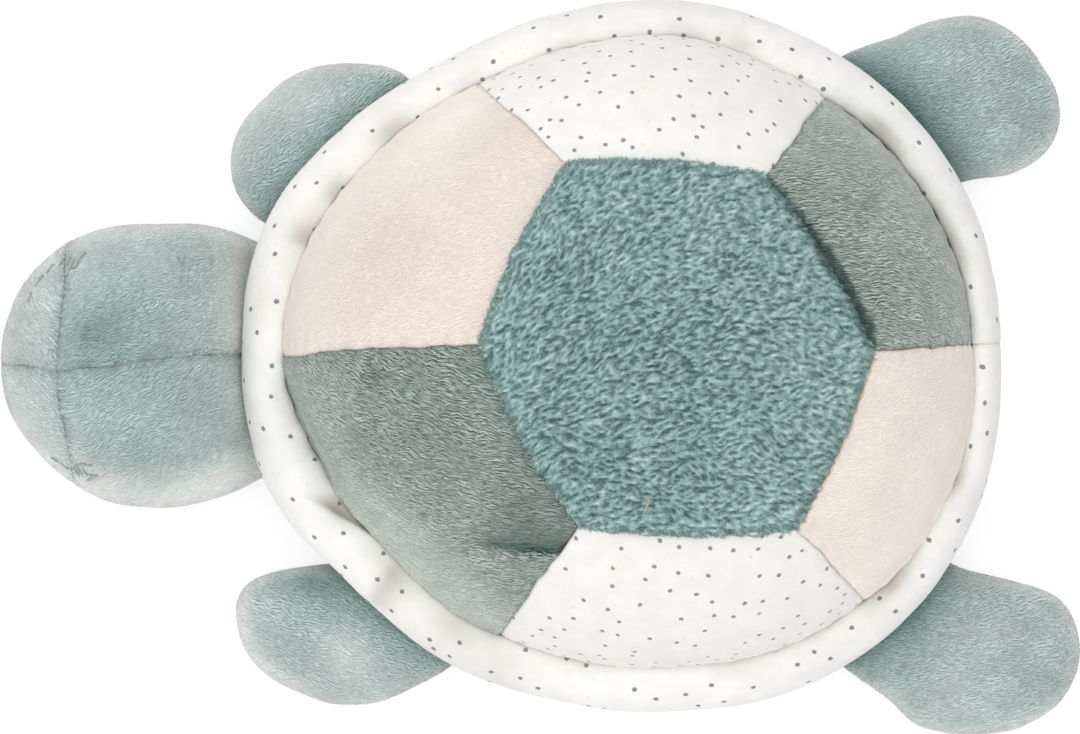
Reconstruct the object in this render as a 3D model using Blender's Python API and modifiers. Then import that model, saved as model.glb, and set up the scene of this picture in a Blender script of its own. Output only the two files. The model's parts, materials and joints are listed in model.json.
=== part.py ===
"""A plush turtle lying on its belly: a stuffed shell, a head and four flippers, sewn from cloth panels.

Lengths are in metres and +Z is up. The head points to -X and the turtle's right side to +Y. Angles
are in degrees, anticlockwise seen from above. Each stuffed form is a stack of rings between a top
and a bottom point, and its cloth panels follow those rings, drawn back a little from every seam.
"""
import math

import bmesh
import bpy
import numpy as np
from mathutils import Vector
from mathutils.bvhtree import BVHTree

# Shell sizes, from its own centre
SHELL_RADIUS = 0.092
DOME_HEIGHT = 0.045
DOME_SEAM_LEVEL = 0.037
DOME_PEAK_BACK = 0.010
DOME_PEAK_RIGHT = 0.002
RIM_LEVEL = 0.031
RIM_CROWN = 0.0065
RIM_TURN = 0.003
RIM_DROP = 0.009
RIM_TUCK = 0.018
BELLY_SEAM_LEVEL = 0.018
BELLY_TURN = 0.018
HEXAGON_REACH = 0.048
HEXAGON_BACK = 0.0125
HEXAGON_RIGHT = 0.0025
HEXAGON_BOW = 0.002
HEXAGON_PUFF = 0.0025
SIDE_PUFF = 0.0025

# Head sizes, out from the neck's hinge
HEAD_REACH = 0.0335
HEAD_RISE = 0.031
HEAD_SEAM_RISE = 0.0075
HEAD_PUFF = 0.0007
CROWN_SEAMS_OUT = 0.0178
CROWN_SEAMS_ACROSS = 0.0017
NECK_LEVEL = 0.0105
NECK_RISE = 0.013
NECK_DEPTH = 0.009
NECK_END = 0.012
HEAD_START = 0.028
NECK_ROOT = 0.0089
NECK_ACROSS = 0.0022

# Flipper sizes: the root runs back from the hinge, and each reach from the flipper's middle
FLIPPER_HALF_DEPTH = 0.0086
FLIPPER_ROOT = 0.0065
FRONT_RIGHT_REACH = 0.0235
REAR_RIGHT_REACH = 0.026
REAR_RIGHT_ACROSS = -0.002
REAR_LEFT_REACH = 0.030
REAR_LEFT_ACROSS = 0.003
FRONT_LEFT_REACH = 0.026
FRONT_LEFT_ACROSS = -0.004

# Cloth, seams and clearances
MINKY = 0.0012
FLEECE = 0.0015
COTTON = 0.001
SEAM_GAP = 0.0003
STUFFING_SLACK = 0.0005
FLOOR_GAP = 0.0006
REST_CUT = 0.0005

# Embroidery
THREAD_RADIUS = 0.0005
LASH_LENGTH = 0.0035

# Outlines, as shares of a reach at equal steps of angle
RIM_SHARES = (0.995, 1.0, 0.99, 0.965, 0.945, 0.915, 0.905, 0.945, 1.0,
              1.0, 0.995, 0.935, 0.93, 0.925, 0.95, 0.995, 1.02, 1.015)
DOME_SHARES = (0.92, 0.90, 0.875, 0.85, 0.845, 0.815, 0.805, 0.825, 0.865,
               0.89, 0.835, 0.79, 0.80, 0.805, 0.825, 0.875, 0.91, 0.92)
HEAD_SHARES = (0.955, 0.945, 0.93, 0.95, 1.0, 1.05, 1.13, 1.26, 1.44,
               1.40, 1.44, 1.29, 1.14, 1.02, 1.0, 0.99, 0.98, 0.96)
FRONT_RIGHT_SHARES = (0.81, 0.90, 1.0, 1.06, 1.05, 1.01, 1.02, 0.99, 0.89,
                      0.82, 0.85, 0.98, 1.08, 1.04, 0.89, 0.81, 0.79, 0.79)
REAR_RIGHT_SHARES = (0.99, 0.91, 0.80, 0.73, 0.71, 0.83, 1.03, 1.19, 1.11,
                     1.05, 1.09, 0.94, 0.80, 0.82, 1.0, 1.17, 1.18, 1.08)
REAR_LEFT_SHARES = (0.99, 1.12, 1.15, 1.06, 0.77, 0.63, 0.61, 0.74, 1.04,
                    1.04, 1.09, 1.04, 0.79, 0.65, 0.62, 0.70, 0.76, 0.84)
FRONT_LEFT_SHARES = (0.94, 0.88, 0.83, 0.79, 0.81, 0.91, 1.03, 1.09, 0.98,
                     0.93, 0.95, 0.71, 0.58, 0.60, 0.82, 1.19, 1.20, 1.09)

# Shell panels, anticlockwise from the rear: name, cloth, and the angles where the panel's first seam
# leaves the hexagon's corner and meets the dome's edge
SHELL_PANELS = (
    ("shell_rear_right_panel", "sage_minky", -2, 1.8),
    ("shell_right_panel", "dotted_cotton", 62, 51.6),
    ("shell_front_right_panel", "blush_minky", 121, 118.0),
    ("shell_front_left_panel", "sage_minky", 180, 180.3),
    ("shell_left_panel", "dotted_cotton", 242, 246.4),
    ("shell_rear_left_panel", "blush_minky", 303, 314.6),
)
HEXAGON_CORNER_SHARES = (0.97, 0.94, 1.04, 0.96, 1.01, 1.08)
PANEL_STEPS = 6
HEXAGON_RING_SHARES = (0.45, 0.78, 1.0)
SIDE_RING_SHARES = (0.22, 0.46, 0.68, 0.87, 1.0)
RIM_TOP_ANGLES = (40, 90, 140, 180)
RIM_TIGHT_ANGLES = (40, 140)
RIM_UNDER_SHARES = (0.5, 1.0)
BELLY_SIDE_SHARE = 0.2
BELLY_SIDE_LEVEL_SHARE = 0.55
BELLY_TURN_SHARES = ((BELLY_SIDE_SHARE, BELLY_SIDE_LEVEL_SHARE), (0.5, 0.19), (1.0, 0.0))
BELLY_INNER_SHARE = 0.5

# Head seams, anticlockwise from the nose: panel name and the angle where its first seam ends
HEAD_PANELS = (
    ("head_snout_left_panel", 0),
    ("head_back_left_panel", 63),
    ("head_back_right_panel", 180),
    ("head_snout_right_panel", 299),
)
HEAD_TOP_RING_SHARES = (0.1, 0.3, 0.5, 0.68, 0.83, 0.93, 0.98, 1.0)
HEAD_UNDER_RING_SHARES = (0.95, 0.8, 0.5)
HEAD_HEADING = 180

# Flippers: name, heading, reach, how far across the hinge's heading the middle lies, and outline
FLIPPERS = (
    ("front_right_flipper", 144.2, FRONT_RIGHT_REACH, 0, FRONT_RIGHT_SHARES),
    ("rear_right_flipper", 40.2, REAR_RIGHT_REACH, REAR_RIGHT_ACROSS, REAR_RIGHT_SHARES),
    ("rear_left_flipper", -43.6, REAR_LEFT_REACH, REAR_LEFT_ACROSS, REAR_LEFT_SHARES),
    ("front_left_flipper", -131.8, FRONT_LEFT_REACH, FRONT_LEFT_ACROSS, FRONT_LEFT_SHARES),
)
FLIPPER_STEPS = 20
FLIPPER_RING_SHARES = (0.66, 0.94)

# Closed eyes: the arc's angles round the head, and its distance out from the middle, front to back
RIGHT_EYE_ANGLES = (-30, -37, -44, -51, -57, -62)
RIGHT_EYE_SHARES = (0.93, 0.955, 0.965, 0.955, 0.92, 0.87)
LEFT_EYE_ANGLES = (38, 45, 52, 58, 64, 69)
LEFT_EYE_SHARES = (0.93, 0.955, 0.96, 0.94, 0.90, 0.84)
LASH_PLACE_SHARES = (0.45, 0.72, 1.0)
LASH_LEAN_SHARES = (0.15, 0.45, 0.8)

# Shape of a stuffed form: how square its plan is, and how far skins turn in at their seams
STUFFED_POWER = 2.3
DOME_POWER = 3
SEAM_TURN_SHARE = 0.2
EDGE_TURN_SHARE = 0.8
PUFF_POWER = 0.6
CREASE_SHARE = 0.3
FULLNESS_ROUNDS = 12

# Cloth colours as 0 to 255 red, green and blue, with roughness
CLOTHS = {
    "teal_fleece": ((132, 163, 161), 0.95),
    "blush_minky": ((236, 224, 215), 0.85),
    "sage_minky": ((140, 154, 147), 0.85),
    "teal_minky": ((168, 185, 183), 0.85),
    "dotted_cotton": ((242, 240, 237), 0.8),
    "grey_thread": ((150, 155, 152), 0.6),
    "white_stuffing": ((245, 245, 243), 0.95),
}


def clear_scene():
    """Remove every object, so that the scene holds only the turtle."""
    for thing in list(bpy.data.objects):
        bpy.data.objects.remove(thing)


def new_collection(name):
    """A collection of this name under the scene."""
    group = bpy.data.collections.new(name)
    bpy.context.scene.collection.children.link(group)
    return group


def linear(level):
    """A 0 to 255 colour level as linear light."""
    level /= 255
    return level / 12.92 if level <= 0.04045 else ((level + 0.055) / 1.055) ** 2.4


def cloth_material(name):
    """The Principled material of one cloth."""
    known = bpy.data.materials.get(name)
    if known:
        return known
    levels, roughness = CLOTHS[name]
    material = bpy.data.materials.new(name)
    material.use_nodes = True
    colour = [linear(level) for level in levels] + [1]
    material.diffuse_color = colour
    shader = material.node_tree.nodes["Principled BSDF"]
    shader.inputs["Base Color"].default_value = colour
    shader.inputs["Roughness"].default_value = roughness
    shader.inputs["Metallic"].default_value = 0
    return material


def share_at(shares, degrees):
    """The smooth value at an angle, between shares that stand at equal steps round an outline."""
    place = degrees / 360 * len(shares)
    first = math.floor(place)
    along = place - first
    a, b, c, d = (shares[(first + k) % len(shares)] for k in (-1, 0, 1, 2))
    bend = 2 * a - 5 * b + 4 * c - d + along * (3 * (b - c) + d - a)
    return b + along / 2 * (c - a + along * bend)


def toward(degrees):
    """The level unit vector at an angle."""
    return Vector((math.cos(math.radians(degrees)), math.sin(math.radians(degrees)), 0))


def angle_of(place):
    """The angle of a place seen from the origin."""
    return math.degrees(math.atan2(place.y, place.x))


def column_angles(seams, steps):
    """Equal steps of angle between each seam and the next, all the way round."""
    angles = []
    for start, end in zip(seams, list(seams[1:]) + [seams[0] + 360]):
        angles += [start + (end - start) * step / steps for step in range(steps)]
    return angles


def roundness(fullness, power):
    """The height of a stuffed form as a share of its middle: 1 at fullness 0 and 0 at fullness 1."""
    return math.sqrt(max(1 - fullness ** power, 0))


class Form:
    """A closed stuffed form: rings of points between a top and a bottom point."""

    def __init__(self, top, rings, bottom, puffs=None, edge=None):
        """Puffs says how far each ring's points swell outwards. Edge is the ring of the edge seam."""
        self.top, self.rings, self.bottom, self.edge = top, rings, bottom, edge
        if puffs:
            self.swell(puffs)

    def build(self):
        """The form as a closed mesh, with its ring points as rows of vertices."""
        form = bmesh.new()
        top = form.verts.new(self.top)
        rows = [[form.verts.new(point) for point in ring] for ring in self.rings]
        bottom = form.verts.new(self.bottom)
        count = len(rows[0])
        for here in range(count):
            there = (here + 1) % count
            form.faces.new((top, rows[0][here], rows[0][there]))
            for upper, lower in zip(rows, rows[1:]):
                form.faces.new((upper[here], lower[here], lower[there], upper[there]))
            form.faces.new((rows[-1][here], bottom, rows[-1][there]))
        form.normal_update()
        return form, rows

    def swell(self, puffs):
        """Move the ring points out along their normals."""
        form, rows = self.build()
        self.rings = [[vertex.co + vertex.normal * puff for vertex, puff in zip(row, ring)]
                      for row, ring in zip(rows, puffs)]
        form.free()


def finish_piece(name, mesh, cloth, parent, group):
    """A named object for a mesh, with its cloth, on its parent."""
    mesh.shade_smooth()
    mesh.materials.append(cloth_material(cloth))
    piece = bpy.data.objects.new(name, mesh)
    piece.parent = parent
    group.objects.link(piece)
    return piece


def make_stuffing(name, form, skin, parent, group):
    """The filling of a form: the same shape, with every face set deeper to lie inside its skin."""
    solid, _ = form.build()
    depth = skin + STUFFING_SLACK
    moves = []
    for vertex in solid.verts:
        normals = np.array([face.normal for face in vertex.link_faces])
        depths = np.full(len(normals), -depth)
        moves.append(Vector(np.linalg.lstsq(normals, depths, rcond=CREASE_SHARE)[0]))
    for vertex, move in zip(solid.verts, moves):
        vertex.co += move
    mesh = bpy.data.meshes.new(name)
    solid.to_mesh(mesh)
    solid.free()
    filling = finish_piece(name, mesh, "white_stuffing", parent, group)
    even_triangles(filling)
    return filling


def drawn_back(line, start, end):
    """As many points along the line, once its two ends stand back from their seams."""
    runs = [0]
    for here, there in zip(line, line[1:]):
        runs.append(runs[-1] + (there - here).length)
    start = min(start, runs[-1] / 4)
    end = min(end, runs[-1] / 4)
    points = []
    for run in runs:
        want = start + run / runs[-1] * (runs[-1] - start - end)
        last = next((k for k in range(1, len(runs)) if want <= runs[k]), len(runs) - 1)
        share = (want - runs[last - 1]) / (runs[last] - runs[last - 1])
        points.append(line[last - 1].lerp(line[last], share))
    return points


def even_triangles(piece):
    """Split the piece's four-sided faces along their shorter diagonals."""
    split = piece.modifiers.new("even triangles", "TRIANGULATE")
    split.quad_method = "SHORTEST_DIAGONAL"


def make_skin(name, points, faces, skin, cloth, parent, group):
    """A cloth panel: an open surface thickened inwards."""
    mesh = bpy.data.meshes.new(name)
    mesh.from_pydata(points, [], faces)
    piece = finish_piece(name, mesh, cloth, parent, group)
    thicken = piece.modifiers.new("cloth", "SOLIDIFY")
    thicken.thickness = skin
    thicken.offset = -1
    even_triangles(piece)
    return piece


def seam_back(skin):
    """How far a skin stands back from a seam in a smooth stretch of a form."""
    return SEAM_GAP / 2 + skin * SEAM_TURN_SHARE


def edge_back(skin):
    """How far a skin stands back from the seam along a form's edge."""
    return SEAM_GAP / 2 + skin * EDGE_TURN_SHARE


def make_strip(name, rows, backs, skin, cloth, parent, group):
    """A panel over rows of points. Backs says how far the first row, last row and sides draw back."""
    rows = [drawn_back(row, backs[2], backs[2]) for row in rows]
    columns = [drawn_back(list(column), backs[0], backs[1]) for column in zip(*rows)]
    high = len(rows)
    points = [point for column in columns for point in column]
    faces = [(c * high + r, c * high + r + 1, (c + 1) * high + r + 1, (c + 1) * high + r)
             for c in range(len(columns) - 1) for r in range(high - 1)]
    return make_skin(name, points, faces, skin, cloth, parent, group)


def make_cap(name, pole, rings, back, skin, cloth, parent, group):
    """A round panel over a pole and the rings about it, from the pole outwards."""
    spokes = [drawn_back([pole, *spoke], 0, back)[1:] for spoke in zip(*rings)]
    high = len(rings)
    points = [pole] + [point for spoke in spokes for point in spoke]
    faces = []
    for here in range(len(spokes)):
        there = (here + 1) % len(spokes)
        faces.append((0, here * high + 1, there * high + 1))
        for r in range(1, high):
            faces.append((here * high + r, here * high + r + 1, there * high + r + 1, there * high + r))
    return make_skin(name, points, faces, skin, cloth, parent, group)


def rim_radius(degrees):
    """How far the rim reaches from the shell's centre at an angle."""
    return SHELL_RADIUS * share_at(RIM_SHARES, degrees)


def dome_radius(degrees):
    """How far the dome's edge lies from the shell's centre at an angle."""
    return SHELL_RADIUS * share_at(DOME_SHARES, degrees)


def dome_fullness(place):
    """0 at the dome's peak and 1 at its edge, whose outline shrinks towards the peak."""
    peak = Vector((DOME_PEAK_BACK, DOME_PEAK_RIGHT, 0))
    full = 1
    for _ in range(FULLNESS_ROUNDS):
        offset = Vector((place.x, place.y, 0)) - peak * (1 - full)
        full = offset.length / dome_radius(angle_of(offset))
    return full


def on_dome(place):
    """The point of the dome above a place."""
    height = DOME_HEIGHT * roundness(dome_fullness(place), DOME_POWER)
    return Vector((place.x, place.y, DOME_SEAM_LEVEL + height))


def hexagon_middle():
    """The middle of the top panel, in plan."""
    return Vector((HEXAGON_BACK, HEXAGON_RIGHT, 0))


def hexagon_edge():
    """Points round the top panel's six sides, which bow a little outwards."""
    corners = [hexagon_middle() + toward(panel[2]) * HEXAGON_REACH * share
               for panel, share in zip(SHELL_PANELS, HEXAGON_CORNER_SHARES)]
    edge = []
    for start, end in zip(corners, corners[1:] + corners[:1]):
        out = ((start + end) / 2 - hexagon_middle()).normalized()
        for step in range(PANEL_STEPS):
            along = step / PANEL_STEPS
            edge.append(start.lerp(end, along) + out * HEXAGON_BOW * 4 * along * (1 - along))
    return edge


def shell_angles():
    """The angles of the shell's columns of points, with one on each panel's seam."""
    return column_angles([panel[3] for panel in SHELL_PANELS], PANEL_STEPS)


def rim_ring(angles, turn):
    """A ring over the rim's top, from the dome's seam at turn 0 to the widest line at 180."""
    across = (1 - math.cos(math.radians(turn))) / 2
    level = DOME_SEAM_LEVEL + (RIM_LEVEL - DOME_SEAM_LEVEL) * turn / 180
    level += RIM_CROWN * math.sin(math.radians(turn))
    return [toward(angle) * (dome_radius(angle) + (rim_radius(angle) - dome_radius(angle)) * across)
            + Vector((0, 0, level)) for angle in angles]


def under_ring(angles, along):
    """A ring under the rim, from its widest line at 0 to the belly's seam at 1."""
    turn = 2 * along * (1 - along)
    inward = turn * RIM_TURN + along ** 2 * RIM_TUCK
    level = (1 - along) ** 2 * RIM_LEVEL + turn * (RIM_LEVEL - RIM_DROP) + along ** 2 * BELLY_SEAM_LEVEL
    return [toward(angle) * (rim_radius(angle) - inward) + Vector((0, 0, level)) for angle in angles]


def belly_ring(angles, share, level_share):
    """A ring of the belly's side, as shares of its turn inwards and of its seam's level."""
    inward = RIM_TUCK + BELLY_TURN * share
    return [toward(angle) * (rim_radius(angle) - inward)
            + Vector((0, 0, BELLY_SEAM_LEVEL * level_share)) for angle in angles]


def shell_form():
    """The whole shell, with each panel swollen between its seams and the belly pressed flat."""
    angles = shell_angles()
    edge = hexagon_edge()
    rings, puffs = [], []
    for share in HEXAGON_RING_SHARES:
        rings.append([on_dome(hexagon_middle().lerp(point, share)) for point in edge])
        puffs.append([HEXAGON_PUFF * (1 - share ** 2)] * len(edge))
    for share in SIDE_RING_SHARES:
        rings.append([on_dome(inner.lerp(toward(angle) * dome_radius(angle), share))
                      for inner, angle in zip(edge, angles)])
        puffs.append([SIDE_PUFF * (math.sin(math.pi * (column % PANEL_STEPS) / PANEL_STEPS)
                                   * max(math.sin(math.pi * share), 0)) ** PUFF_POWER
                      for column in range(len(edge))])
    rings += [rim_ring(angles, turn) for turn in RIM_TOP_ANGLES]
    rings += [under_ring(angles, along) for along in RIM_UNDER_SHARES]
    rings += [belly_ring(angles, *shares) for shares in BELLY_TURN_SHARES]
    rings.append([Vector((point.x * BELLY_INNER_SHARE, point.y * BELLY_INNER_SHARE, -REST_CUT))
                  for point in rings[-1]])
    puffs += [[0] * len(edge)] * (len(rings) - len(puffs))
    top = on_dome(hexagon_middle()) + Vector((0, 0, HEXAGON_PUFF))
    form = Form(top, rings, Vector((0, 0, -REST_CUT)), puffs)
    form.rings = [[Vector((point.x, point.y, max(point.z, 0))) for point in ring] for ring in form.rings]
    form.bottom.z = max(form.bottom.z, 0)
    return form


def make_shell(parent, group):
    """The shell's top panel, side panels, rim band, belly panel and stuffing."""
    form = shell_form()
    rings = form.rings
    dome_start = len(HEXAGON_RING_SHARES) - 1
    rim_start = dome_start + len(SIDE_RING_SHARES)
    belly_start = rim_start + len(RIM_TOP_ANGLES) + len(RIM_UNDER_SHARES)
    make_cap("shell_top_panel", form.top, rings[:dome_start + 1], seam_back(FLEECE),
             FLEECE, "teal_fleece", parent, group)
    for number, (name, cloth, *_) in enumerate(SHELL_PANELS):
        first = number * PANEL_STEPS
        columns = [(first + step) % len(rings[0]) for step in range(PANEL_STEPS + 1)]
        rows = [[ring[column] for column in columns] for ring in rings[dome_start:rim_start + 1]]
        skin = COTTON if cloth == "dotted_cotton" else MINKY
        make_strip(name, rows, [seam_back(skin)] * 3, skin, cloth, parent, group)
    rows = [ring + ring[:1] for ring in rings[rim_start:belly_start + 1]]
    make_strip("shell_rim_band", rows, [seam_back(COTTON)] * 3, COTTON, "dotted_cotton", parent, group)
    under = [list(reversed(ring)) for ring in reversed(rings[belly_start:])]
    make_cap("belly_panel", form.bottom, under, seam_back(COTTON),
             COTTON, "dotted_cotton", parent, group)
    tight = {rim_start + number for number, turn in enumerate(RIM_TOP_ANGLES, start=1)
             if turn in RIM_TIGHT_ANGLES}
    loose = [ring for number, ring in enumerate(rings) if number not in tight]
    thickest = max(FLEECE, MINKY, COTTON)
    make_stuffing("shell_stuffing", Form(form.top, loose, form.bottom), thickest, parent, group)
    return rings[belly_start + 1]


def root_radius(form):
    """How far a limb's upper skin reaches back from its hinge's axis, close to its edge seam."""
    skins = [drawn_back(spoke, 0, edge_back(MINKY)) for spoke in zip(*form.rings[:form.edge + 1])]
    return max(math.hypot(point.x, point.z) for skin in skins for point in skin[-2:] if point.x < 0)


def hinge_empty(name, heading, form, level, belly_side, parent, group):
    """An empty on a limb's hinge, just clear of the belly's side, whose +X points out of the body."""
    lean = math.atan2(BELLY_TURN * BELLY_SIDE_SHARE, BELLY_SEAM_LEVEL * (1 - BELLY_SIDE_LEVEL_SHARE))
    side_level = BELLY_SEAM_LEVEL * BELLY_SIDE_LEVEL_SHARE
    body = max(point.dot(toward(heading)) for point in belly_side)
    clear = root_radius(form) + SEAM_GAP
    out = (clear + math.sin(lean) * (level - side_level)) / math.cos(lean)
    hinge = bpy.data.objects.new(name, None)
    hinge.location = toward(heading) * (body + out) + Vector((0, 0, level))
    hinge.rotation_euler.z = math.radians(heading)
    hinge.parent = parent
    group.objects.link(hinge)
    return hinge


def limb_middle(reach, shares, root, across=0):
    """The middle of a limb's outline, in plan, whose root runs this far back from its hinge."""
    return Vector((reach * share_at(shares, 180) - root, across, 0))


def outline_point(centre, reach, shares, degrees):
    """A point of an outline about a centre."""
    return centre + toward(degrees) * reach * share_at(shares, degrees)


def head_middle():
    """The middle of the head, in plan."""
    return limb_middle(HEAD_REACH, HEAD_SHARES, NECK_ROOT, NECK_ACROSS)


def head_fullness(place):
    """0 over the head's middle and 1 on its outline."""
    offset = Vector((place.x, place.y, 0)) - head_middle()
    if offset.length == 0:
        return 0
    return offset.length / (HEAD_REACH * share_at(HEAD_SHARES, angle_of(offset)))


def on_head(place, side):
    """The point of the head over a place, for side 1, or under it, for side -1."""
    share = min(max((place.x - NECK_END) / (HEAD_START - NECK_END), 0), 1)
    swollen = share * share * (3 - 2 * share)
    seam = HEAD_SEAM_RISE * swollen
    rise = NECK_RISE + (HEAD_RISE - NECK_RISE) * swollen
    depth = NECK_DEPTH + (NECK_LEVEL + HEAD_SEAM_RISE - FLOOR_GAP - NECK_DEPTH) * swollen
    height = (rise if side > 0 else -depth) * roundness(head_fullness(place), STUFFED_POWER)
    return Vector((place.x, place.y, seam + height))


def head_form():
    """The head with its neck, and the rings over its top run out from where its four seams meet."""
    angles = column_angles([panel[1] for panel in HEAD_PANELS], PANEL_STEPS)
    edge = [outline_point(head_middle(), HEAD_REACH, HEAD_SHARES, angle) for angle in angles]
    meeting = head_middle() + Vector((CROWN_SEAMS_OUT, CROWN_SEAMS_ACROSS, 0))
    rings, puffs = [], []
    for share in HEAD_TOP_RING_SHARES:
        rings.append([on_head(meeting.lerp(point, share), 1) for point in edge])
        puffs.append([HEAD_PUFF * (math.sin(math.pi * (column % PANEL_STEPS) / PANEL_STEPS)
                                   * max(math.sin(math.pi * share), 0)) ** PUFF_POWER
                      for column in range(len(edge))])
    for share in HEAD_UNDER_RING_SHARES:
        rings.append([on_head(head_middle().lerp(point, share), -1) for point in edge])
        puffs.append([0] * len(edge))
    edge_ring = len(HEAD_TOP_RING_SHARES) - 1
    return Form(on_head(meeting, 1), rings, on_head(head_middle(), -1), puffs, edge_ring)


def make_head(form, parent, group):
    """The head's four top panels, chin panel and stuffing."""
    backs = (0, edge_back(MINKY), seam_back(MINKY))
    for number, (name, _) in enumerate(HEAD_PANELS):
        first = number * PANEL_STEPS
        columns = [(first + step) % len(form.rings[0]) for step in range(PANEL_STEPS + 1)]
        rows = [[ring[column] for column in columns] for ring in form.rings[:form.edge + 1]]
        make_strip(name, rows, backs, MINKY, "teal_minky", parent, group)
    under = [list(reversed(ring)) for ring in reversed(form.rings[form.edge:])]
    make_cap("head_chin_panel", form.bottom, under, edge_back(MINKY),
             MINKY, "teal_minky", parent, group)
    make_stuffing("head_stuffing", form, MINKY, parent, group)


def flipper_form(reach, across, shares):
    """A flat paddle whose edge seam lies level at half its depth."""
    centre = limb_middle(reach, shares, FLIPPER_ROOT, across)
    edge = [outline_point(centre, reach, shares, 360 * step / FLIPPER_STEPS)
            for step in range(FLIPPER_STEPS)]
    rings = [edge]
    for share in reversed(FLIPPER_RING_SHARES):
        height = Vector((0, 0, FLIPPER_HALF_DEPTH * roundness(share, STUFFED_POWER)))
        ring = [centre.lerp(point, share) for point in edge]
        rings = [[point + height for point in ring], *rings, [point - height for point in ring]]
    peak = Vector((0, 0, FLIPPER_HALF_DEPTH))
    return Form(centre + peak, rings, centre - peak, edge=len(FLIPPER_RING_SHARES))


def make_flipper(name, form, parent, group):
    """A flipper's upper panel, lower panel and stuffing."""
    make_cap(name + "_upper_panel", form.top, form.rings[:form.edge + 1], edge_back(MINKY),
             MINKY, "teal_minky", parent, group)
    under = [list(reversed(ring)) for ring in reversed(form.rings[form.edge:])]
    make_cap(name + "_lower_panel", form.bottom, under, edge_back(MINKY),
             MINKY, "teal_minky", parent, group)
    make_stuffing(name + "_stuffing", form, MINKY, parent, group)


def thread(name, points, group):
    """A round thread along points, as a closed mesh object."""
    curve = bpy.data.curves.new(name, "CURVE")
    curve.dimensions = "3D"
    curve.bevel_depth = THREAD_RADIUS
    curve.bevel_resolution = 1
    curve.use_fill_caps = True
    line = curve.splines.new("POLY")
    line.points.add(len(points) - 1)
    for knot, point in zip(line.points, points):
        knot.co = (*point, 1)
    wire = bpy.data.objects.new(name, curve)
    group.objects.link(wire)
    mesh = bpy.data.meshes.new_from_object(wire.evaluated_get(bpy.context.evaluated_depsgraph_get()))
    bpy.data.objects.remove(wire)
    welded = bmesh.new()
    welded.from_mesh(mesh)
    bmesh.ops.remove_doubles(welded, verts=welded.verts, dist=THREAD_RADIUS / 100)
    bmesh.ops.recalc_face_normals(welded, faces=welded.faces)
    welded.to_mesh(mesh)
    welded.free()
    return mesh


def make_eye(name, angles, fullness, form, parent, group, cutters):
    """A closed eye on the head's skin: an arc of thread with lashes over its outer side."""
    solid, _ = form.build()
    skin = BVHTree.FromBMesh(solid)
    solid.free()

    def seated(place):
        point, normal, _, _ = skin.find_nearest(on_head(place, 1))
        return point + normal * (THREAD_RADIUS + SEAM_GAP)

    places = [head_middle() + toward(angle) * HEAD_REACH * share_at(HEAD_SHARES, angle) * full
              for angle, full in zip(angles, fullness)]
    eye = finish_piece(name, thread(name, [seated(place) for place in places], group),
                       "grey_thread", parent, group)
    back = (places[-1] - places[0]).normalized()
    for number, (share, lean) in enumerate(zip(LASH_PLACE_SHARES, LASH_LEAN_SHARES), start=1):
        along = share * (len(places) - 1)
        first = min(int(along), len(places) - 2)
        root = seated(places[first]).lerp(seated(places[first + 1]), along - first)
        out = (root - on_head(head_middle(), 1)).normalized()
        down = (out + Vector((0, 0, -1)) + back * lean).normalized()
        tip = skin.find_nearest(root + down * LASH_LENGTH)
        end = tip[0] + tip[1] * (THREAD_RADIUS + SEAM_GAP)
        lash_name = f"{name}_lash_{number}"
        lash = bpy.data.objects.new(lash_name, thread(lash_name, [root, end], cutters))
        lash.parent = parent
        lash.hide_render = True
        lash.display_type = "WIRE"
        cutters.objects.link(lash)
        join = eye.modifiers.new(f"lash {number}", "BOOLEAN")
        join.operation = "UNION"
        join.solver = "EXACT"
        join.object = lash


def centre_over_origin(root, group):
    """Stand the turtle on the floor with the middle of its box over the origin."""
    bpy.context.view_layer.update()
    shapes = bpy.context.evaluated_depsgraph_get()
    points = [piece.matrix_world @ vertex.co for piece in group.objects if piece.type == "MESH"
              for vertex in piece.evaluated_get(shapes).data.vertices]
    for axis in (0, 1):
        places = [point[axis] for point in points]
        root.location[axis] -= (min(places) + max(places)) / 2
    root.location.z -= min(point.z for point in points)


def main():
    """The whole turtle, standing on the floor at the origin."""
    clear_scene()
    group = new_collection("plush_turtle")
    cutters = new_collection("cutters")
    root = bpy.data.objects.new("turtle", None)
    group.objects.link(root)
    belly_side = make_shell(root, group)
    head = head_form()
    neck = hinge_empty("neck_hinge", HEAD_HEADING, head, NECK_LEVEL, belly_side, root, group)
    make_head(head, neck, group)
    make_eye("eye_stitches_right", RIGHT_EYE_ANGLES, RIGHT_EYE_SHARES, head, neck, group, cutters)
    make_eye("eye_stitches_left", LEFT_EYE_ANGLES, LEFT_EYE_SHARES, head, neck, group, cutters)
    level = FLIPPER_HALF_DEPTH + FLOOR_GAP
    for name, heading, reach, across, shares in FLIPPERS:
        form = flipper_form(reach, across, shares)
        hinge = hinge_empty(name + "_hinge", heading, form, level, belly_side, root, group)
        make_flipper(name, form, hinge, group)
    centre_over_origin(root, group)


main()
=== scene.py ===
"""The looks of the plush turtle: every cloth panel as sewn, puffed cloth, with its pile, print and embroidery."""
import json
import math
from collections import namedtuple

import bpy
import numpy as np
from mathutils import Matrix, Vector
from mathutils.bvhtree import BVHTree


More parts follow.
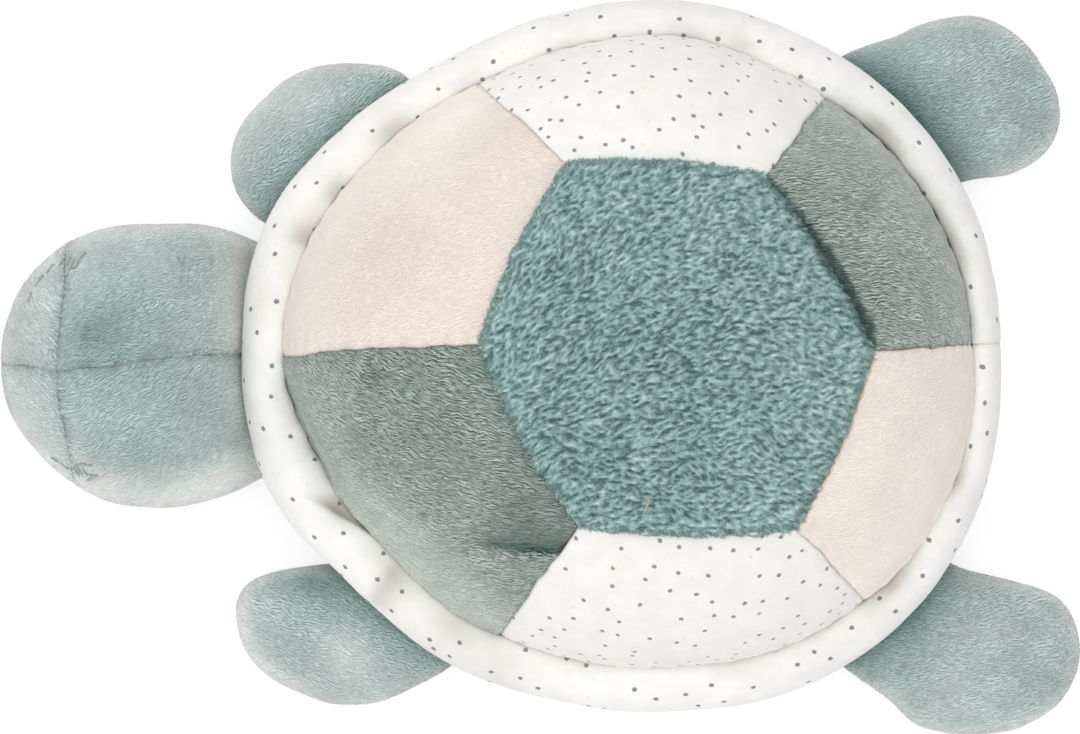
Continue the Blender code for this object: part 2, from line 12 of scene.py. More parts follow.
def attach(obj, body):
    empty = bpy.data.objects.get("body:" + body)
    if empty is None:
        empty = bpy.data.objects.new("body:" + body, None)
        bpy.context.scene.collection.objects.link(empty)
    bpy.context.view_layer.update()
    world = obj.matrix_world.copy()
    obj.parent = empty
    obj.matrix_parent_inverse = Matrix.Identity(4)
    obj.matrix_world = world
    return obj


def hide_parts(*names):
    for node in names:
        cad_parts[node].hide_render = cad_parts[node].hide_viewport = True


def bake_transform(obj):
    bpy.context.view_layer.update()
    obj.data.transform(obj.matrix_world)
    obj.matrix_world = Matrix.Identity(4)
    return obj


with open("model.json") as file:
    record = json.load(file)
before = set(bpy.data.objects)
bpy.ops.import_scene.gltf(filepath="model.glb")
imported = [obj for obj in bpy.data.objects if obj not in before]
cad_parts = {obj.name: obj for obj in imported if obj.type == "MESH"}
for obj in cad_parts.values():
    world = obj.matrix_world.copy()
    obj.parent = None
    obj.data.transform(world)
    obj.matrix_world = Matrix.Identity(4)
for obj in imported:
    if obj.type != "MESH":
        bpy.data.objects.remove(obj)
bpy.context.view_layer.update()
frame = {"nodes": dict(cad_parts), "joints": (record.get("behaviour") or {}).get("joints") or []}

MM = 0.001
PIXEL = 0.2412 * MM  # one pixel of the photograph on the floor
PICTURE_WIDTH, PICTURE_MIDDLE = 1080, (540, 366.5)

# The form's own sizes, as in the part's source
SHELL_PLACE = np.array((19.87 * MM, 2.744 * MM))
SHELL_RADIUS = 92 * MM
DOME_HEIGHT, DOME_SEAM_LEVEL, DOME_POWER = 45 * MM, 37 * MM, 3
DOME_PEAK = np.array((10 * MM, 2 * MM))
RIM_LEVEL, RIM_CROWN, RIM_TURN, RIM_DROP, RIM_TUCK = 31 * MM, 6.5 * MM, 3 * MM, 9 * MM, 18 * MM
BELLY_SEAM_LEVEL, BELLY_TURN = 18 * MM, 18 * MM
HEXAGON_REACH, HEXAGON_BOW, HEXAGON_PUFF, SIDE_PUFF = 48 * MM, 2 * MM, 2.5 * MM, 2.7 * MM
HEXAGON_MIDDLE = np.array((12.5 * MM, 2.5 * MM))
HEAD_REACH, HEAD_RISE, HEAD_SEAM_RISE, HEAD_PUFF = 33.5 * MM, 31 * MM, 7.5 * MM, 0.9 * MM
CROWN_SEAMS = np.array((17.8 * MM, 1.7 * MM))
NECK_LEVEL, NECK_RISE, NECK_DEPTH = 10.5 * MM, 14.5 * MM, 9 * MM
NECK_END, NECK_FULL, CROWN_START, CROWN_FULL = 7 * MM, 17 * MM, 10 * MM, 34 * MM
NECK_ROOT, NECK_ACROSS, FLOOR_GAP = 8.9 * MM, 2.2 * MM, 0.6 * MM
FLIPPER_HALF_DEPTH, FLIPPER_ROOT, STUFFED_POWER = 8.6 * MM, 6.5 * MM, 2.3

RIM_SHARES = (0.995, 1.0, 0.99, 0.965, 0.945, 0.915, 0.905, 0.945, 1.0,
              1.0, 0.995, 0.935, 0.93, 0.925, 0.95, 0.995, 1.02, 1.015)
DOME_SHARES = (0.92, 0.90, 0.875, 0.85, 0.845, 0.815, 0.805, 0.825, 0.865,
               0.89, 0.835, 0.79, 0.80, 0.805, 0.825, 0.875, 0.91, 0.92)
HEAD_SHARES = (0.955, 0.945, 0.93, 0.95, 1.0, 1.05, 1.13, 1.26, 1.44,
               1.40, 1.44, 1.29, 1.14, 1.02, 1.0, 0.99, 0.98, 0.96)
HEXAGON_CORNER_SHARES = (0.97, 0.94, 1.04, 0.96, 1.01, 1.08)

# The counts of points across and down each piece. The rim and the belly go down in two stretches.
SIDE_GRID, TOP_SIDE_GRID, HEAD_GRID, CHIN_GRID, FLIPPER_GRID = (110, 84), (36, 56), (60, 72), (220, 44), (200, 44)
RIM_GRID, BELLY_GRID, PILE_CELLS = (880, 34, 21), (360, 23, 26), 344
RIM_GAP, TOP_GAP = 0.0001, 0.004  # how far, as a share, the rim's ends stay apart and the top panel from its seams

# Lengths in all tables below are in mm, angles in degrees
MINKY_THICK, COTTON_THICK, FLEECE_THICK = 1.2, 1.0, 1.5
# Cloths of the side panels: thickness, depth of the seam at the rim, strength of the painted shade in the seams,
# and density and length of the pile along the edges
Cloth = namedtuple("Cloth", "thick drop seam pile fibre")
CLOTHS = {"sage_minky": Cloth(MINKY_THICK, 0.8, 0.4, 1.0, 0.85),
          "blush_minky": Cloth(MINKY_THICK, 0.5, 0.15, 0.45, 0.55),
          "dotted_cotton": Cloth(COTTON_THICK, 0.2, 0.6, 0, 0)}
# Shell panels, anticlockwise from the rear: the angles of the first corner on the top panel and of the first place
# on the rim, the way the nap lies, the bulge over the rim, and the painted light on the whole panel (below 0, painted
# shade)
Panel = namedtuple("Panel", "name cloth corner start nap bulge tone")
SHELL_PANELS = tuple(Panel(*row) for row in (
    ("rear_right", "sage_minky", -2, 1.8, -4, 0.2, 0.20),
    ("right", "dotted_cotton", 62, 51.6, -28, 0.4, -0.02),
    ("front_right", "blush_minky", 121, 118.0, 6, 0.8, 0.0),
    ("front_left", "sage_minky", 180, 180.3, -8, 1.2, -0.12),
    ("left", "dotted_cotton", 242, 246.4, 20, 0.4, -0.08),
    ("rear_left", "blush_minky", 303, 314.6, 10, 1.0, 0.32),
))
SHALLOW_SEAMS = ({1, 2}, {4, 5})  # the numbers of the panels on both sides of a seam that is sewn flat
RIM_SEAM = SHELL_PANELS[0].start
# Head panels: the angle of the first seam, the way the nap lies, how strong the gathers are, and the painted light
# (below 0, painted shade) on the cloth all over, at the neck, in a band behind the crown and down the cheek
HeadPanel = namedtuple("HeadPanel", "name start nap gathers tone neck band cheek")
HEAD_PANELS = tuple(HeadPanel(*row) for row in (
    ("snout_left", 0, -24, 0.45, 0.16, 0, 0.1, 0),
    ("back_left", 63, 30, 1, -0.05, 0.2, 0.1, 1),
    ("back_right", 186, 22, 1, -0.05, 0.4, 0.3, 0),
    ("snout_right", 299, -38, 0.45, 0.16, 0, 0.1, 0),
))
MIDDLE_SEAM_FIRST = ("snout_left", "back_right")  # panels whose first seam is the head's middle line
# Flippers: heading, reach, how far across the middle lies, the way the nap lies, the painted shade under the rim
# and the painted light elsewhere, and the outline
Flipper = namedtuple("Flipper", "name heading reach across nap shade tone shares")
FLIPPERS = tuple(Flipper(*row) for row in (
    ("front_right", 144.2, 23.5, 0, 35, 0.55, 0.26,
     (0.81, 0.90, 1.0, 1.06, 1.05, 1.01, 1.02, 0.99, 0.89,
      0.82, 0.85, 0.98, 1.08, 1.04, 0.89, 0.81, 0.79, 0.79)),
    ("rear_right", 40.2, 26, -2, 20, 0.75, -0.02,
     (0.99, 0.91, 0.80, 0.73, 0.71, 0.83, 1.03, 1.19, 1.11,
      1.05, 1.09, 0.94, 0.80, 0.82, 1.0, 1.17, 1.18, 1.08)),
    ("rear_left", -43.6, 30, 3, 8, 0.70, 0.12,
     (0.99, 1.12, 1.15, 1.06, 0.77, 0.63, 0.61, 0.74, 1.04,
      1.04, 1.09, 1.04, 0.79, 0.65, 0.62, 0.70, 0.76, 0.84)),
    ("front_left", -131.8, 26, -4, 160, 0.55, 0.20,
     (0.94, 0.88, 0.83, 0.79, 0.81, 0.91, 1.03, 1.09, 0.98,
      0.93, 0.95, 0.71, 0.58, 0.60, 0.82, 1.19, 1.20, 1.09)),
))
# Soft dents of the rim, each with painted shade in it: angle, how far over its crown, depth and width
RIM_DENTS = (
    (159.3, 52, 1.2, 6), (149.9, 52, 1.4, 5), (135.8, 55, 1.4, 7), (208.5, 52, 1.4, 6),
    (222, 66, 1.0, 8), (40.4, 50, 2.0, 8), (19, 50, 1.0, 12), (319.9, 50, 1.9, 10),
    (78, 60, 0.8, 8), (68.6, 75, 1.1, 5), (186, 60, 0.6, 6), (100, 50, 0.6, 7), (262, 50, 0.5, 8),
    (290, 60, 0.5, 9), (342, 60, 0.9, 8), (120, 70, 0.8, 6), (238, 80, 0.9, 7), (340, 40, 0.8, 6),
)
# Folds across the rim, each sharp on its right side: its ends in the photograph's pixels, its width and depth,
# the amount of shade and the softness of its right side
RIM_FOLDS = (
    ((296, 494), (384, 540), 3.8, 0.9, -0.74, 1.6), ((398, 552), (364, 602), 6.5, 0.4, -0.56, 4.5),
    ((274, 239), (322, 249), 5.5, 0.5, -0.26, 2.2), ((930, 222), (905, 190), 3.0, 0.4, -0.15, 1.3),
)
CREASE = ((462, 539), (560, 556))  # the ends of the fold in the front left panel, in the photograph's pixels
# Soft patches of painted shade in folds (amount below 0) and of painted light (above 0): the photograph's pixel, size
# and amount
RIM_SHADES = (
    (336, 197, 3.5, -0.20), (302, 232, 4, -0.10), (290, 262, 5, -0.12), (280, 440, 8, -0.08), (322, 214, 4, -0.12),
    (390, 124, 4.5, -0.24), (912, 198, 5, -0.26), (936, 230, 3.5, -0.30), (953, 262, 3.5, -0.30),
    (600, 18, 12, -0.06), (700, 22, 12, -0.06), (820, 650, 14, -0.08), (440, 645, 9, -0.2), (900, 600, 9, -0.08),
    (990, 425, 10, 0.16), (972, 300, 9, 0.12), (962, 500, 9, -0.08), (268, 300, 6, -0.14), (500, 672, 8, -0.22),
)
BLUSH_SHADES = ((430, 160, 9, 0.3), (452, 108, 7, 0.6), (390, 255, 12, -0.2))
# A dimple pushed into the cloth, in the same form
SAGE_DIMPLE = ((375, 372, 3, -1),)
FRONT_LEFT_SHADES = (
    (375, 375, 3, -0.45), (522, 512, 6, -0.25), (330, 400, 8, 0.1), (415, 425, 12, -0.2), (350, 460, 9, -0.14),
    (480, 365, 5, -0.2), (435, 550, 9, 0.2),
)
HEAD_SHADES = (
    (88, 333, 6, -0.36), (112, 325, 11, -0.22), (105, 350, 8, -0.2), (52, 320, 8, 0.15), (190, 262, 8, -0.2),
    (200, 400, 12, -0.12), (120, 425, 12, 0.1), (215, 300, 10, 0.1), (135, 448, 8, -0.3), (232, 440, 5, -0.25),
    (140, 290, 9, -0.1),
)
FLIPPER_SHADES = {"front_left": (
    (272, 573, 4, -0.35), (300, 577, 4, -0.4), (322, 586, 5, -0.4), (352, 660, 7, 0.25), (288, 638, 7, -0.15),
)}
# Eyes in the photograph's pixels: half the stitches' length, the arcs that they follow, and the lashes' curves
EYES = (
    ("right", 1.25, (((28, 301), (31, 292)), ((35, 286), (42, 275)), ((47, 272), (53, 264))),
     (((59, 266), (61, 262), (64, 257)), ((66, 268), (67, 262), (71, 256)), ((70, 269), (72, 264), (75, 258)),
      ((76, 268), (78, 264), (79, 259)), ((68, 269), (73, 270), (77, 266)), ((80, 259), (83, 255), (86, 252)))),
    ("left", 0.8, (((50, 457), (60, 463)), ((60, 463), (66, 468)), ((66, 468), (73, 468))),
     (((73, 466), (76, 471), (79, 477)), ((76, 465), (79, 470), (82, 476)), ((80, 464), (86, 464), (93, 466)),
      ((82, 467), (84, 472), (87, 476)), ((85, 481), (91, 478), (97, 475)), ((87, 474), (93, 476), (98, 475)),
      ((73, 466), (79, 465), (84, 463)))),
)
LOOSE_THREAD = ((647, 495), (645, 511))

# Colours, as levels from 0 to 255. Minkies: light pile, dark pile as painted shade in the strokes' hollows,
# painted shade in the seams, painted light and the sheen's tint, painted shade in folds
TEAL = ((200, 216, 213), (154, 178, 176), (100, 122, 120), (240, 243, 239), (129, 162, 158))
SAGE = ((181, 194, 187), (118, 136, 129), (52, 68, 64), (218, 224, 217), (118, 148, 144))
BLUSH = ((243, 231, 222), (230, 216, 206), (194, 176, 162), (255, 246, 236), (206, 186, 176))
GREY_INK, PEACH_INK, STRAW_INK = (104, 106, 110), (240, 214, 192), (232, 224, 188)
WHITE = (255, 255, 255)
# Printed dots: spacing, shift, share of the places that carry one, radius, ink and strength
PANEL_DOTS = ((6.3, (0, 0, 0), 0.85, 0.56, GREY_INK, 0.80), (9.0, (2.4, 5.1, 0), 0.35, 0.5, PEACH_INK, 0.5),
              (9.0, (7.7, 1.3, 0), 0.25, 0.5, STRAW_INK, 0.5))
BAND_DOTS = ((9.0, (3.3, 1.9, 0), 0.85, 0.64, GREY_INK, 0.84), (12.0, (2.4, 5.1, 0), 0.35, 0.5, PEACH_INK, 0.5),
             (12.0, (7.7, 1.3, 0), 0.2, 0.5, STRAW_INK, 0.5))
# Lamps: place and width in metres, and power in watts
LAMPS = (("key", (-0.03, 0.03, 1.3), 0.8, 6.2), ("near_side", (0.05, -1.1, 0.5), 0.7, 2.6),
         ("far_side", (-0.1, 1.1, 0.5), 0.7, 1.7), ("head_side", (-1.1, 0.1, 0.5), 0.7, 1.5))


# ---------------------------------------------------------------- numbers

def lattice(cells, seed):
    """Numbers from -1 to 1 that look random, one for each cell of a lattice."""
    mix = cells[..., 0] * 374761393 + cells[..., 1] * 668265263 + cells[..., 2] * 1274126177
    mix = (mix + seed * 974634777) & 0xFFFFFFFF
    mix = ((mix ^ (mix >> 13)) * 1103515245) & 0xFFFFFFFF
    mix ^= mix >> 16
    return (mix & 0xFFFF) / 32767.5 - 1


def noise(points, size, seed):
    """Smooth noise from -1 to 1 at points, with features of this size in mm."""
    places = np.asarray(points, float) / (size * MM)
    cells = np.floor(places).astype(np.int64)
    part = places - cells
    part = part * part * (3 - 2 * part)
    total = 0
    for corner in np.ndindex(2, 2, 2):
        weight = np.prod(np.where(np.array(corner) == 1, part, 1 - part), axis=-1)
        total = total + weight * lattice(cells + np.array(corner), seed)
    return total


def lumps(points, height, size, seed):
    """Smooth noise of this height, with features of this size, both in mm."""
    return height * MM * noise(points, size, seed)


def ripples(points, distance, step, bend, size, seed):
    """Waves from -1 to 1 along a distance, with this half length in mm, bent by noise of this size."""
    return np.sin(distance / (step * MM) * np.pi + bend * noise(points, size, seed))


def bell(distance, width):
    """1 at no distance, falling smoothly to 0 over about twice the width in mm."""
    return np.exp(-(distance / (width * MM)) ** 2)


def smooth(share):
    """A share held from 0 to 1, with soft ends."""
    share = np.clip(share, 0, 1)
    return share * share * (3 - 2 * share)


def tuck(distance, width):
    """1 in a seam, falling to 0 this far (mm) from it, as stuffed cloth draws in to its stitches."""
    near = 1 - np.clip(distance / (width * MM), 0, 1)
    return 1 - np.sqrt(np.maximum(1 - near * near, 0))


def roundness(fullness, power):
    """The height of a stuffed form as a share of its middle."""
    return np.sqrt(np.maximum(1 - fullness ** power, 0))


def pillow(along, down):
    """The puff of a panel, 0 at its edges and 1 in its middle."""
    return (np.sin(np.pi * along)[:, None] * np.sin(np.pi * down)[None]).clip(0) ** 0.6


def share_at(shares, degrees):
    """The smooth value at an angle, between shares at equal steps round an outline."""
    table = np.array(shares)
    place = np.asarray(degrees, float) / 360 * len(table)
    first = np.floor(place).astype(int)
    along = place - first
    a, b, c, d = (table[(first + k) % len(table)] for k in (-1, 0, 1, 2))
    bend = 2 * a - 5 * b + 4 * c - d + along * (3 * (b - c) + d - a)
    return b + along / 2 * (c - a + along * bend)


def toward(degrees):
    """Level unit vectors at angles, as x and y."""
    turn = np.radians(degrees)
    return np.stack([np.cos(turn), np.sin(turn)], axis=-1)


def angle_of(places):
    """The angles of level places seen from the origin."""
    return np.degrees(np.arctan2(places[..., 1], places[..., 0]))


def unit(vectors):
    """Vectors at length 1."""
    return vectors / np.linalg.norm(vectors, axis=-1, keepdims=True).clip(1e-9)


def joined(places, heights):
    """Level places with heights, as points."""
    return np.concatenate([places, np.broadcast_to(heights, places.shape[:-1])[..., None]], axis=-1)


def sway(places, height, size, seeds):
    """Level noise in mm, for panels and seams that wander."""
    return np.stack([lumps(joined(places, 0.0), height, size, seed) for seed in seeds], axis=-1)


def picture_place(px, py):
    """The place on the floor under a pixel of the photograph."""
    return np.array([(px - PICTURE_MIDDLE[0]) * PIXEL, (PICTURE_MIDDLE[1] - py) * PIXEL])


def on_picture(world, spots):
    """Soft patches at pixels of the photograph: x, y, size and amount."""
    total = np.zeros(world.shape[:-1])
    for px, py, size, amount in spots:
        total += amount * bell(np.linalg.norm(world[..., :2] - picture_place(px, py), axis=-1), size)
    return total


def fold_line(world, start, end):
    """How far along a line between two pixels of the photograph a point lies, as a share, and how far left of it."""
    start, end = picture_place(*start), picture_place(*end)
    long = np.linalg.norm(end - start)
    way = (end - start) / long
    offset = world[..., :2] - start
    return (offset @ way) / long, offset @ np.array([-way[1], way[0]])


# ---------------------------------------------------------------- meshes

def runs(grid, axis):
    """How far each point of a grid lies along its line."""
    total = np.cumsum(np.linalg.norm(np.diff(grid, axis=axis), axis=-1), axis=axis)
    return np.concatenate([np.zeros_like(np.take(total, [0], axis=axis)), total], axis=axis)


def grid_normals(grid, whole=False):
    """Unit normals of a grid of points: columns anticlockwise, rows outwards."""
    across = np.roll(grid, -1, 0) - np.roll(grid, 1, 0) if whole else np.gradient(grid, axis=0)
    normal = np.cross(np.gradient(grid, axis=1), across)
    length = np.linalg.norm(normal, axis=-1, keepdims=True)
    weak = length[..., 0] < 1e-14
    normal = normal / np.maximum(length, 1e-14)
    if weak.any():
        normal[weak] = normal[~weak].mean(axis=0)
    return normal


def strip(grid):
    """A strip's normals, and how far its points lie from its first and last columns and its first and last rows."""
    left, top = runs(grid, 0), runs(grid, 1)
    return grid_normals(grid), left, left[-1:] - left, top, top[:, -1:] - top


def whole_round(grid):
    """A round grid with its first row drawn to one point, its normals, and how far its points lie from its edge."""
    grid[:, 0] = grid[:, 0].mean(axis=0)
    down = runs(grid, 1)
    return grid, grid_normals(grid, True), down[:, -1:] - down


def write_mesh(name, points, faces, uvs, seams, tones):
    """A mesh of polygons from arrays, with its cloth coordinates and its seam and tone values."""
    mesh = bpy.data.meshes.new(name)
    mesh.vertices.add(len(points))
    mesh.vertices.foreach_set("co", np.asarray(points, np.float32).ravel())
    corners = np.concatenate([face.ravel() for face in faces])
    counts = np.concatenate([np.full(len(face), face.shape[1]) for face in faces])
    mesh.loops.add(len(corners))
    mesh.loops.foreach_set("vertex_index", corners.astype(np.int32))
    mesh.polygons.add(len(counts))
    mesh.polygons.foreach_set("loop_start", (np.cumsum(counts) - counts).astype(np.int32))
    mesh.update(calc_edges=True)
    mesh.validate()
    used = np.zeros(len(mesh.loops), np.int32)
    mesh.loops.foreach_get("vertex_index", used)
    layer = mesh.uv_layers.new(name="nap")
    layer.data.foreach_set("uv", np.asarray(uvs, np.float32)[used].ravel())
    for label, values in (("seam", seams), ("tone", tones)):
        kept = mesh.attributes.new(label, "FLOAT", "POINT")
        kept.data.foreach_set("value", np.asarray(values, np.float32))
    mesh.shade_smooth()
    return mesh


def cloth_mesh(name, grid, thickness, uv, seam, tone, whole):
    """Closed cloth over a grid: its face, its back this far inside, and its cut edges.

    A whole round piece closes on itself, and its first row is one point.
    """
    back = grid - grid_normals(grid, whole) * thickness
    wide, high = grid.shape[:2]
    size = wide * high
    index = np.arange(size).reshape(wide, high)
    here, there = (index, np.roll(index, -1, 0)) if whole else (index[:-1], index[1:])
    first = 1 if whole else 0
    faces = [np.stack([here[:, first:-1], here[:, first + 1:], there[:, first + 1:], there[:, first:-1]],
                      axis=-1).reshape(-1, 4)]
    rims = [(here[:, -1], there[:, -1])]
    if whole:
        faces.append(np.stack([np.zeros(wide, int), here[:, 1], there[:, 1]], axis=-1))
    else:
        rims += [(there[:, 0], here[:, 0]), (index[0, :-1], index[0, 1:]), (index[-1, 1:], index[-1, :-1])]
    faces += [face[:, ::-1] + size for face in faces]
    faces += [np.stack([one, one + size, two + size, two], axis=-1) for one, two in rims]
    points = np.concatenate([grid.reshape(-1, 3), back.reshape(-1, 3)])
    used = np.zeros(2 * size, bool)
    used[np.concatenate([face.ravel() for face in faces])] = True
    renumbered = np.cumsum(used) - 1
    return write_mesh(name, points[used], [renumbered[face] for face in faces],
                      np.tile(uv.reshape(size, 2), (2, 1))[used], np.tile(seam.ravel(), 2)[used],
                      np.tile(tone.ravel(), 2)[used])


def turned(uv, degrees):
    """Cloth coordinates turned so that their first axis lies along the nap."""
    cos, sin = math.cos(math.radians(degrees)), math.sin(math.radians(degrees))
    return np.stack([uv[..., 0] * cos + uv[..., 1] * sin, uv[..., 1] * cos - uv[..., 0] * sin], axis=-1)


def round_uv(grid, angles):
    """Cloth coordinates of a round piece, laid out flat from its pole."""
    return runs(grid, 1)[..., None] * toward(angles)[:, None, :]


# What a piece is made of and what it moves with. With a blend, the places where its cloth starts and ends to bend,
# it is left where it stands in the world, tied to no body.
Looks = namedtuple("Looks", "material body slot blend", defaults=(None,))


def add_piece(name, mesh, looks, node=None):
    """A named piece, which may stand for a CAD node."""
    piece = bpy.data.objects.new(name, mesh)
    mesh.materials.append(looks.material)
    bpy.context.scene.collection.objects.link(piece)
    if looks.blend:
        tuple(looks.blend[0])
        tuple(looks.blend[1])
        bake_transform(piece)
    else:
        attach(piece, looks.body)
    if node:
        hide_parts(node)


def sew(name, node, grid, uv, seam, tone, looks, thick, whole=False):
    """A panel's cloth, this thick in mm, which stands for its CAD node."""
    add_piece(name, cloth_mesh(name, grid, thick * MM, uv, seam, tone, whole), looks, node)


def pile_strands(name, root, normal, along, length, radius, lift, curl, tone, uv=None):
    """Tapering three-sided strands that lean along the cloth and curl to one side, each of seven points."""
    side = np.cross(normal, along)
    count = len(root)
    pick = (lattice((root / (0.1 * MM)).astype(np.int64), 5) + 1) / 2
    points = []
    for share in (0.0, 0.5):
        centre = (root + along * (length * share * (0.75 + 0.25 * share))[:, None]
                  + normal * (length * lift * share * (1.15 - 0.75 * share))[:, None]
                  + side * (length * curl * share * share)[:, None])
        wide = radius * (0.75 + 0.9 * share) * (1 - share) ** 0.45
        for corner in range(3):
            turn = math.pi * (0.5 + 2 * corner / 3)
            points.append(centre + side * (wide * math.cos(turn))[:, None] + normal * (wide * math.sin(turn))[:, None])
    points.append(root + along * length[:, None] + normal * (length * lift * 0.4)[:, None]
                  + side * (length * curl)[:, None])
    rows = len(points)
    if uv is None:
        shares = np.array((0, 0, 0, 0.5, 0.5, 0.5, 1))
        uv = np.stack(np.broadcast_arrays(pick[:, None], shares), axis=-1).reshape(-1, 2)
    else:
        uv = np.repeat(uv, rows, axis=0)
    numbers = np.arange(count)[:, None] * rows
    corners = ((0, 1), (1, 2), (2, 0))
    quads = [numbers + np.array([one, two, 3 + two, 3 + one]) for one, two in corners]
    tips = [numbers + np.array(tip) for tip in (*((3 + one, 3 + two, 6) for one, two in corners), (2, 1, 0))]
    return write_mesh(name, np.stack(points, axis=1).reshape(-1, 3), [np.concatenate(quads), np.concatenate(tips)],
                      uv, np.zeros(count * rows), np.repeat(tone, rows))


def sampled(field, i, j):
    """A grid's values between its points."""
    first, second = (np.clip(np.floor(k).astype(int), 0, size - 2) for k, size in zip((i, j), field.shape))
    u, v = i - first, j - second
    if field.ndim == 3:
        u, v = u[:, None], v[:, None]
    return ((1 - u) * ((1 - v) * field[first, second] + v * field[first, second + 1])
            + u * ((1 - v) * field[first + 1, second] + v * field[first + 1, second + 1]))


def edge_pile(name, world, uv, tone, looks, edges, length, seed, whole=False, allowed=None):
    """Short strands of a panel's pile, rooted near its edges and leaning out over its seams.

    Each edge has its name, a number of strands, and how many columns or rows they spread inwards.
    """
    generator = np.random.default_rng(seed)
    wide, high = world.shape[:2]
    spots, ways = [], []
    for edge, count, inset in edges:
        inwards = generator.uniform(0, inset, count)
        if edge == "low":
            i, j = generator.uniform(0, wide - 1.01, count), high - 1.001 - inwards
            ways.append(sampled(world[:, [-1, -1]] - world[:, [-4, -4]], i, 0 * i))
        else:
            last, inner = (0, 2) if edge == "left" else (-1, -3)
            i, j = inwards if edge == "left" else wide - 1.001 - inwards, generator.uniform(1.5, high - 1.01, count)
            ways.append(sampled(world[[last, last]] - world[[inner, inner]], 0 * j, j))
        spots.append(np.stack([i, j]))
    i, j = np.concatenate(spots, axis=1)
    lean = unit(np.concatenate(ways))
    facing = unit(sampled(grid_normals(world, whole), i, j))
    lean += 0.55 * generator.normal(0, 1, lean.shape)
    lean = unit(lean - facing * np.sum(lean * facing, axis=-1, keepdims=True))
    count = len(i)
    long = (length * (1 + 0.3 * generator.normal(0, 1, count))).clip(0.35, 1.8) * MM
    thick = 0.075 * (0.75 + 0.5 * generator.random(count)) * MM
    rise = (0.22 + 0.16 * generator.normal(0, 1, count)).clip(0.0, 0.7)
    curl = 0.3 * generator.normal(0, 1, count)
    shade = sampled(tone, i, j) + 0.16 * generator.normal(0, 1, count) + 0.08
    root = sampled(world, i, j) - facing * 0.1 * MM
    kept = np.ones(count, bool) if allowed is None else sampled(allowed * 1.0, i, j) > 0.5
    add_piece(name, pile_strands(name, *(values[kept] for values in (root, facing, lean, long, thick, rise, curl, shade,
                                                                     sampled(uv, i, j)))), looks)


def tube_mesh(name, lines, radii):
    """Closed six-sided tubes along lines of points, all in one mesh."""
    sides = 6
    turn = (np.arange(sides) * 2 * np.pi / sides)[None, :, None]
    caps = np.array([[0, 1, 2, 3], [0, 3, 4, 5]])
    places, quads, base = [], [], 0
    for line, radius in zip(lines, radii):
        line = np.asarray(line, float)
        way = unit(np.gradient(line, axis=0))
        up = np.where(np.abs(way[:, 2:]) > 0.95, (1.0, 0.0, 0.0), (0.0, 0.0, 1.0))
        one = unit(np.cross(way, up))
        two = np.cross(one, way)
        taper = np.full(len(line), radius)
        taper[[0, -1]] *= 0.35
        ring = line[:, None] + taper[:, None, None] * (one[:, None] * np.cos(turn) + two[:, None] * np.sin(turn))
        places.append(ring.reshape(-1, 3))
        index = base + np.arange(len(line) * sides).reshape(len(line), sides)
        after = np.roll(index, -1, 1)
        quads.append(np.stack([index[:-1], index[1:], after[1:], after[:-1]], axis=-1).reshape(-1, 4))
        quads += [index[0][caps], index[-1][::-1][caps]]
        base += index.size
    zeros = np.zeros(base)
    return write_mesh(name, np.concatenate(places), [np.concatenate(quads)], np.zeros((base, 2)), zeros, zeros)


# ---------------------------------------------------------------- materials

def linear(levels):
    """Colour levels from 0 to 255 as linear light."""
    parts = [level / 255 for level in levels]
    return [part / 12.92 if part <= 0.04045 else ((part + 0.055) / 1.055) ** 2.4 for part in parts] + [1]


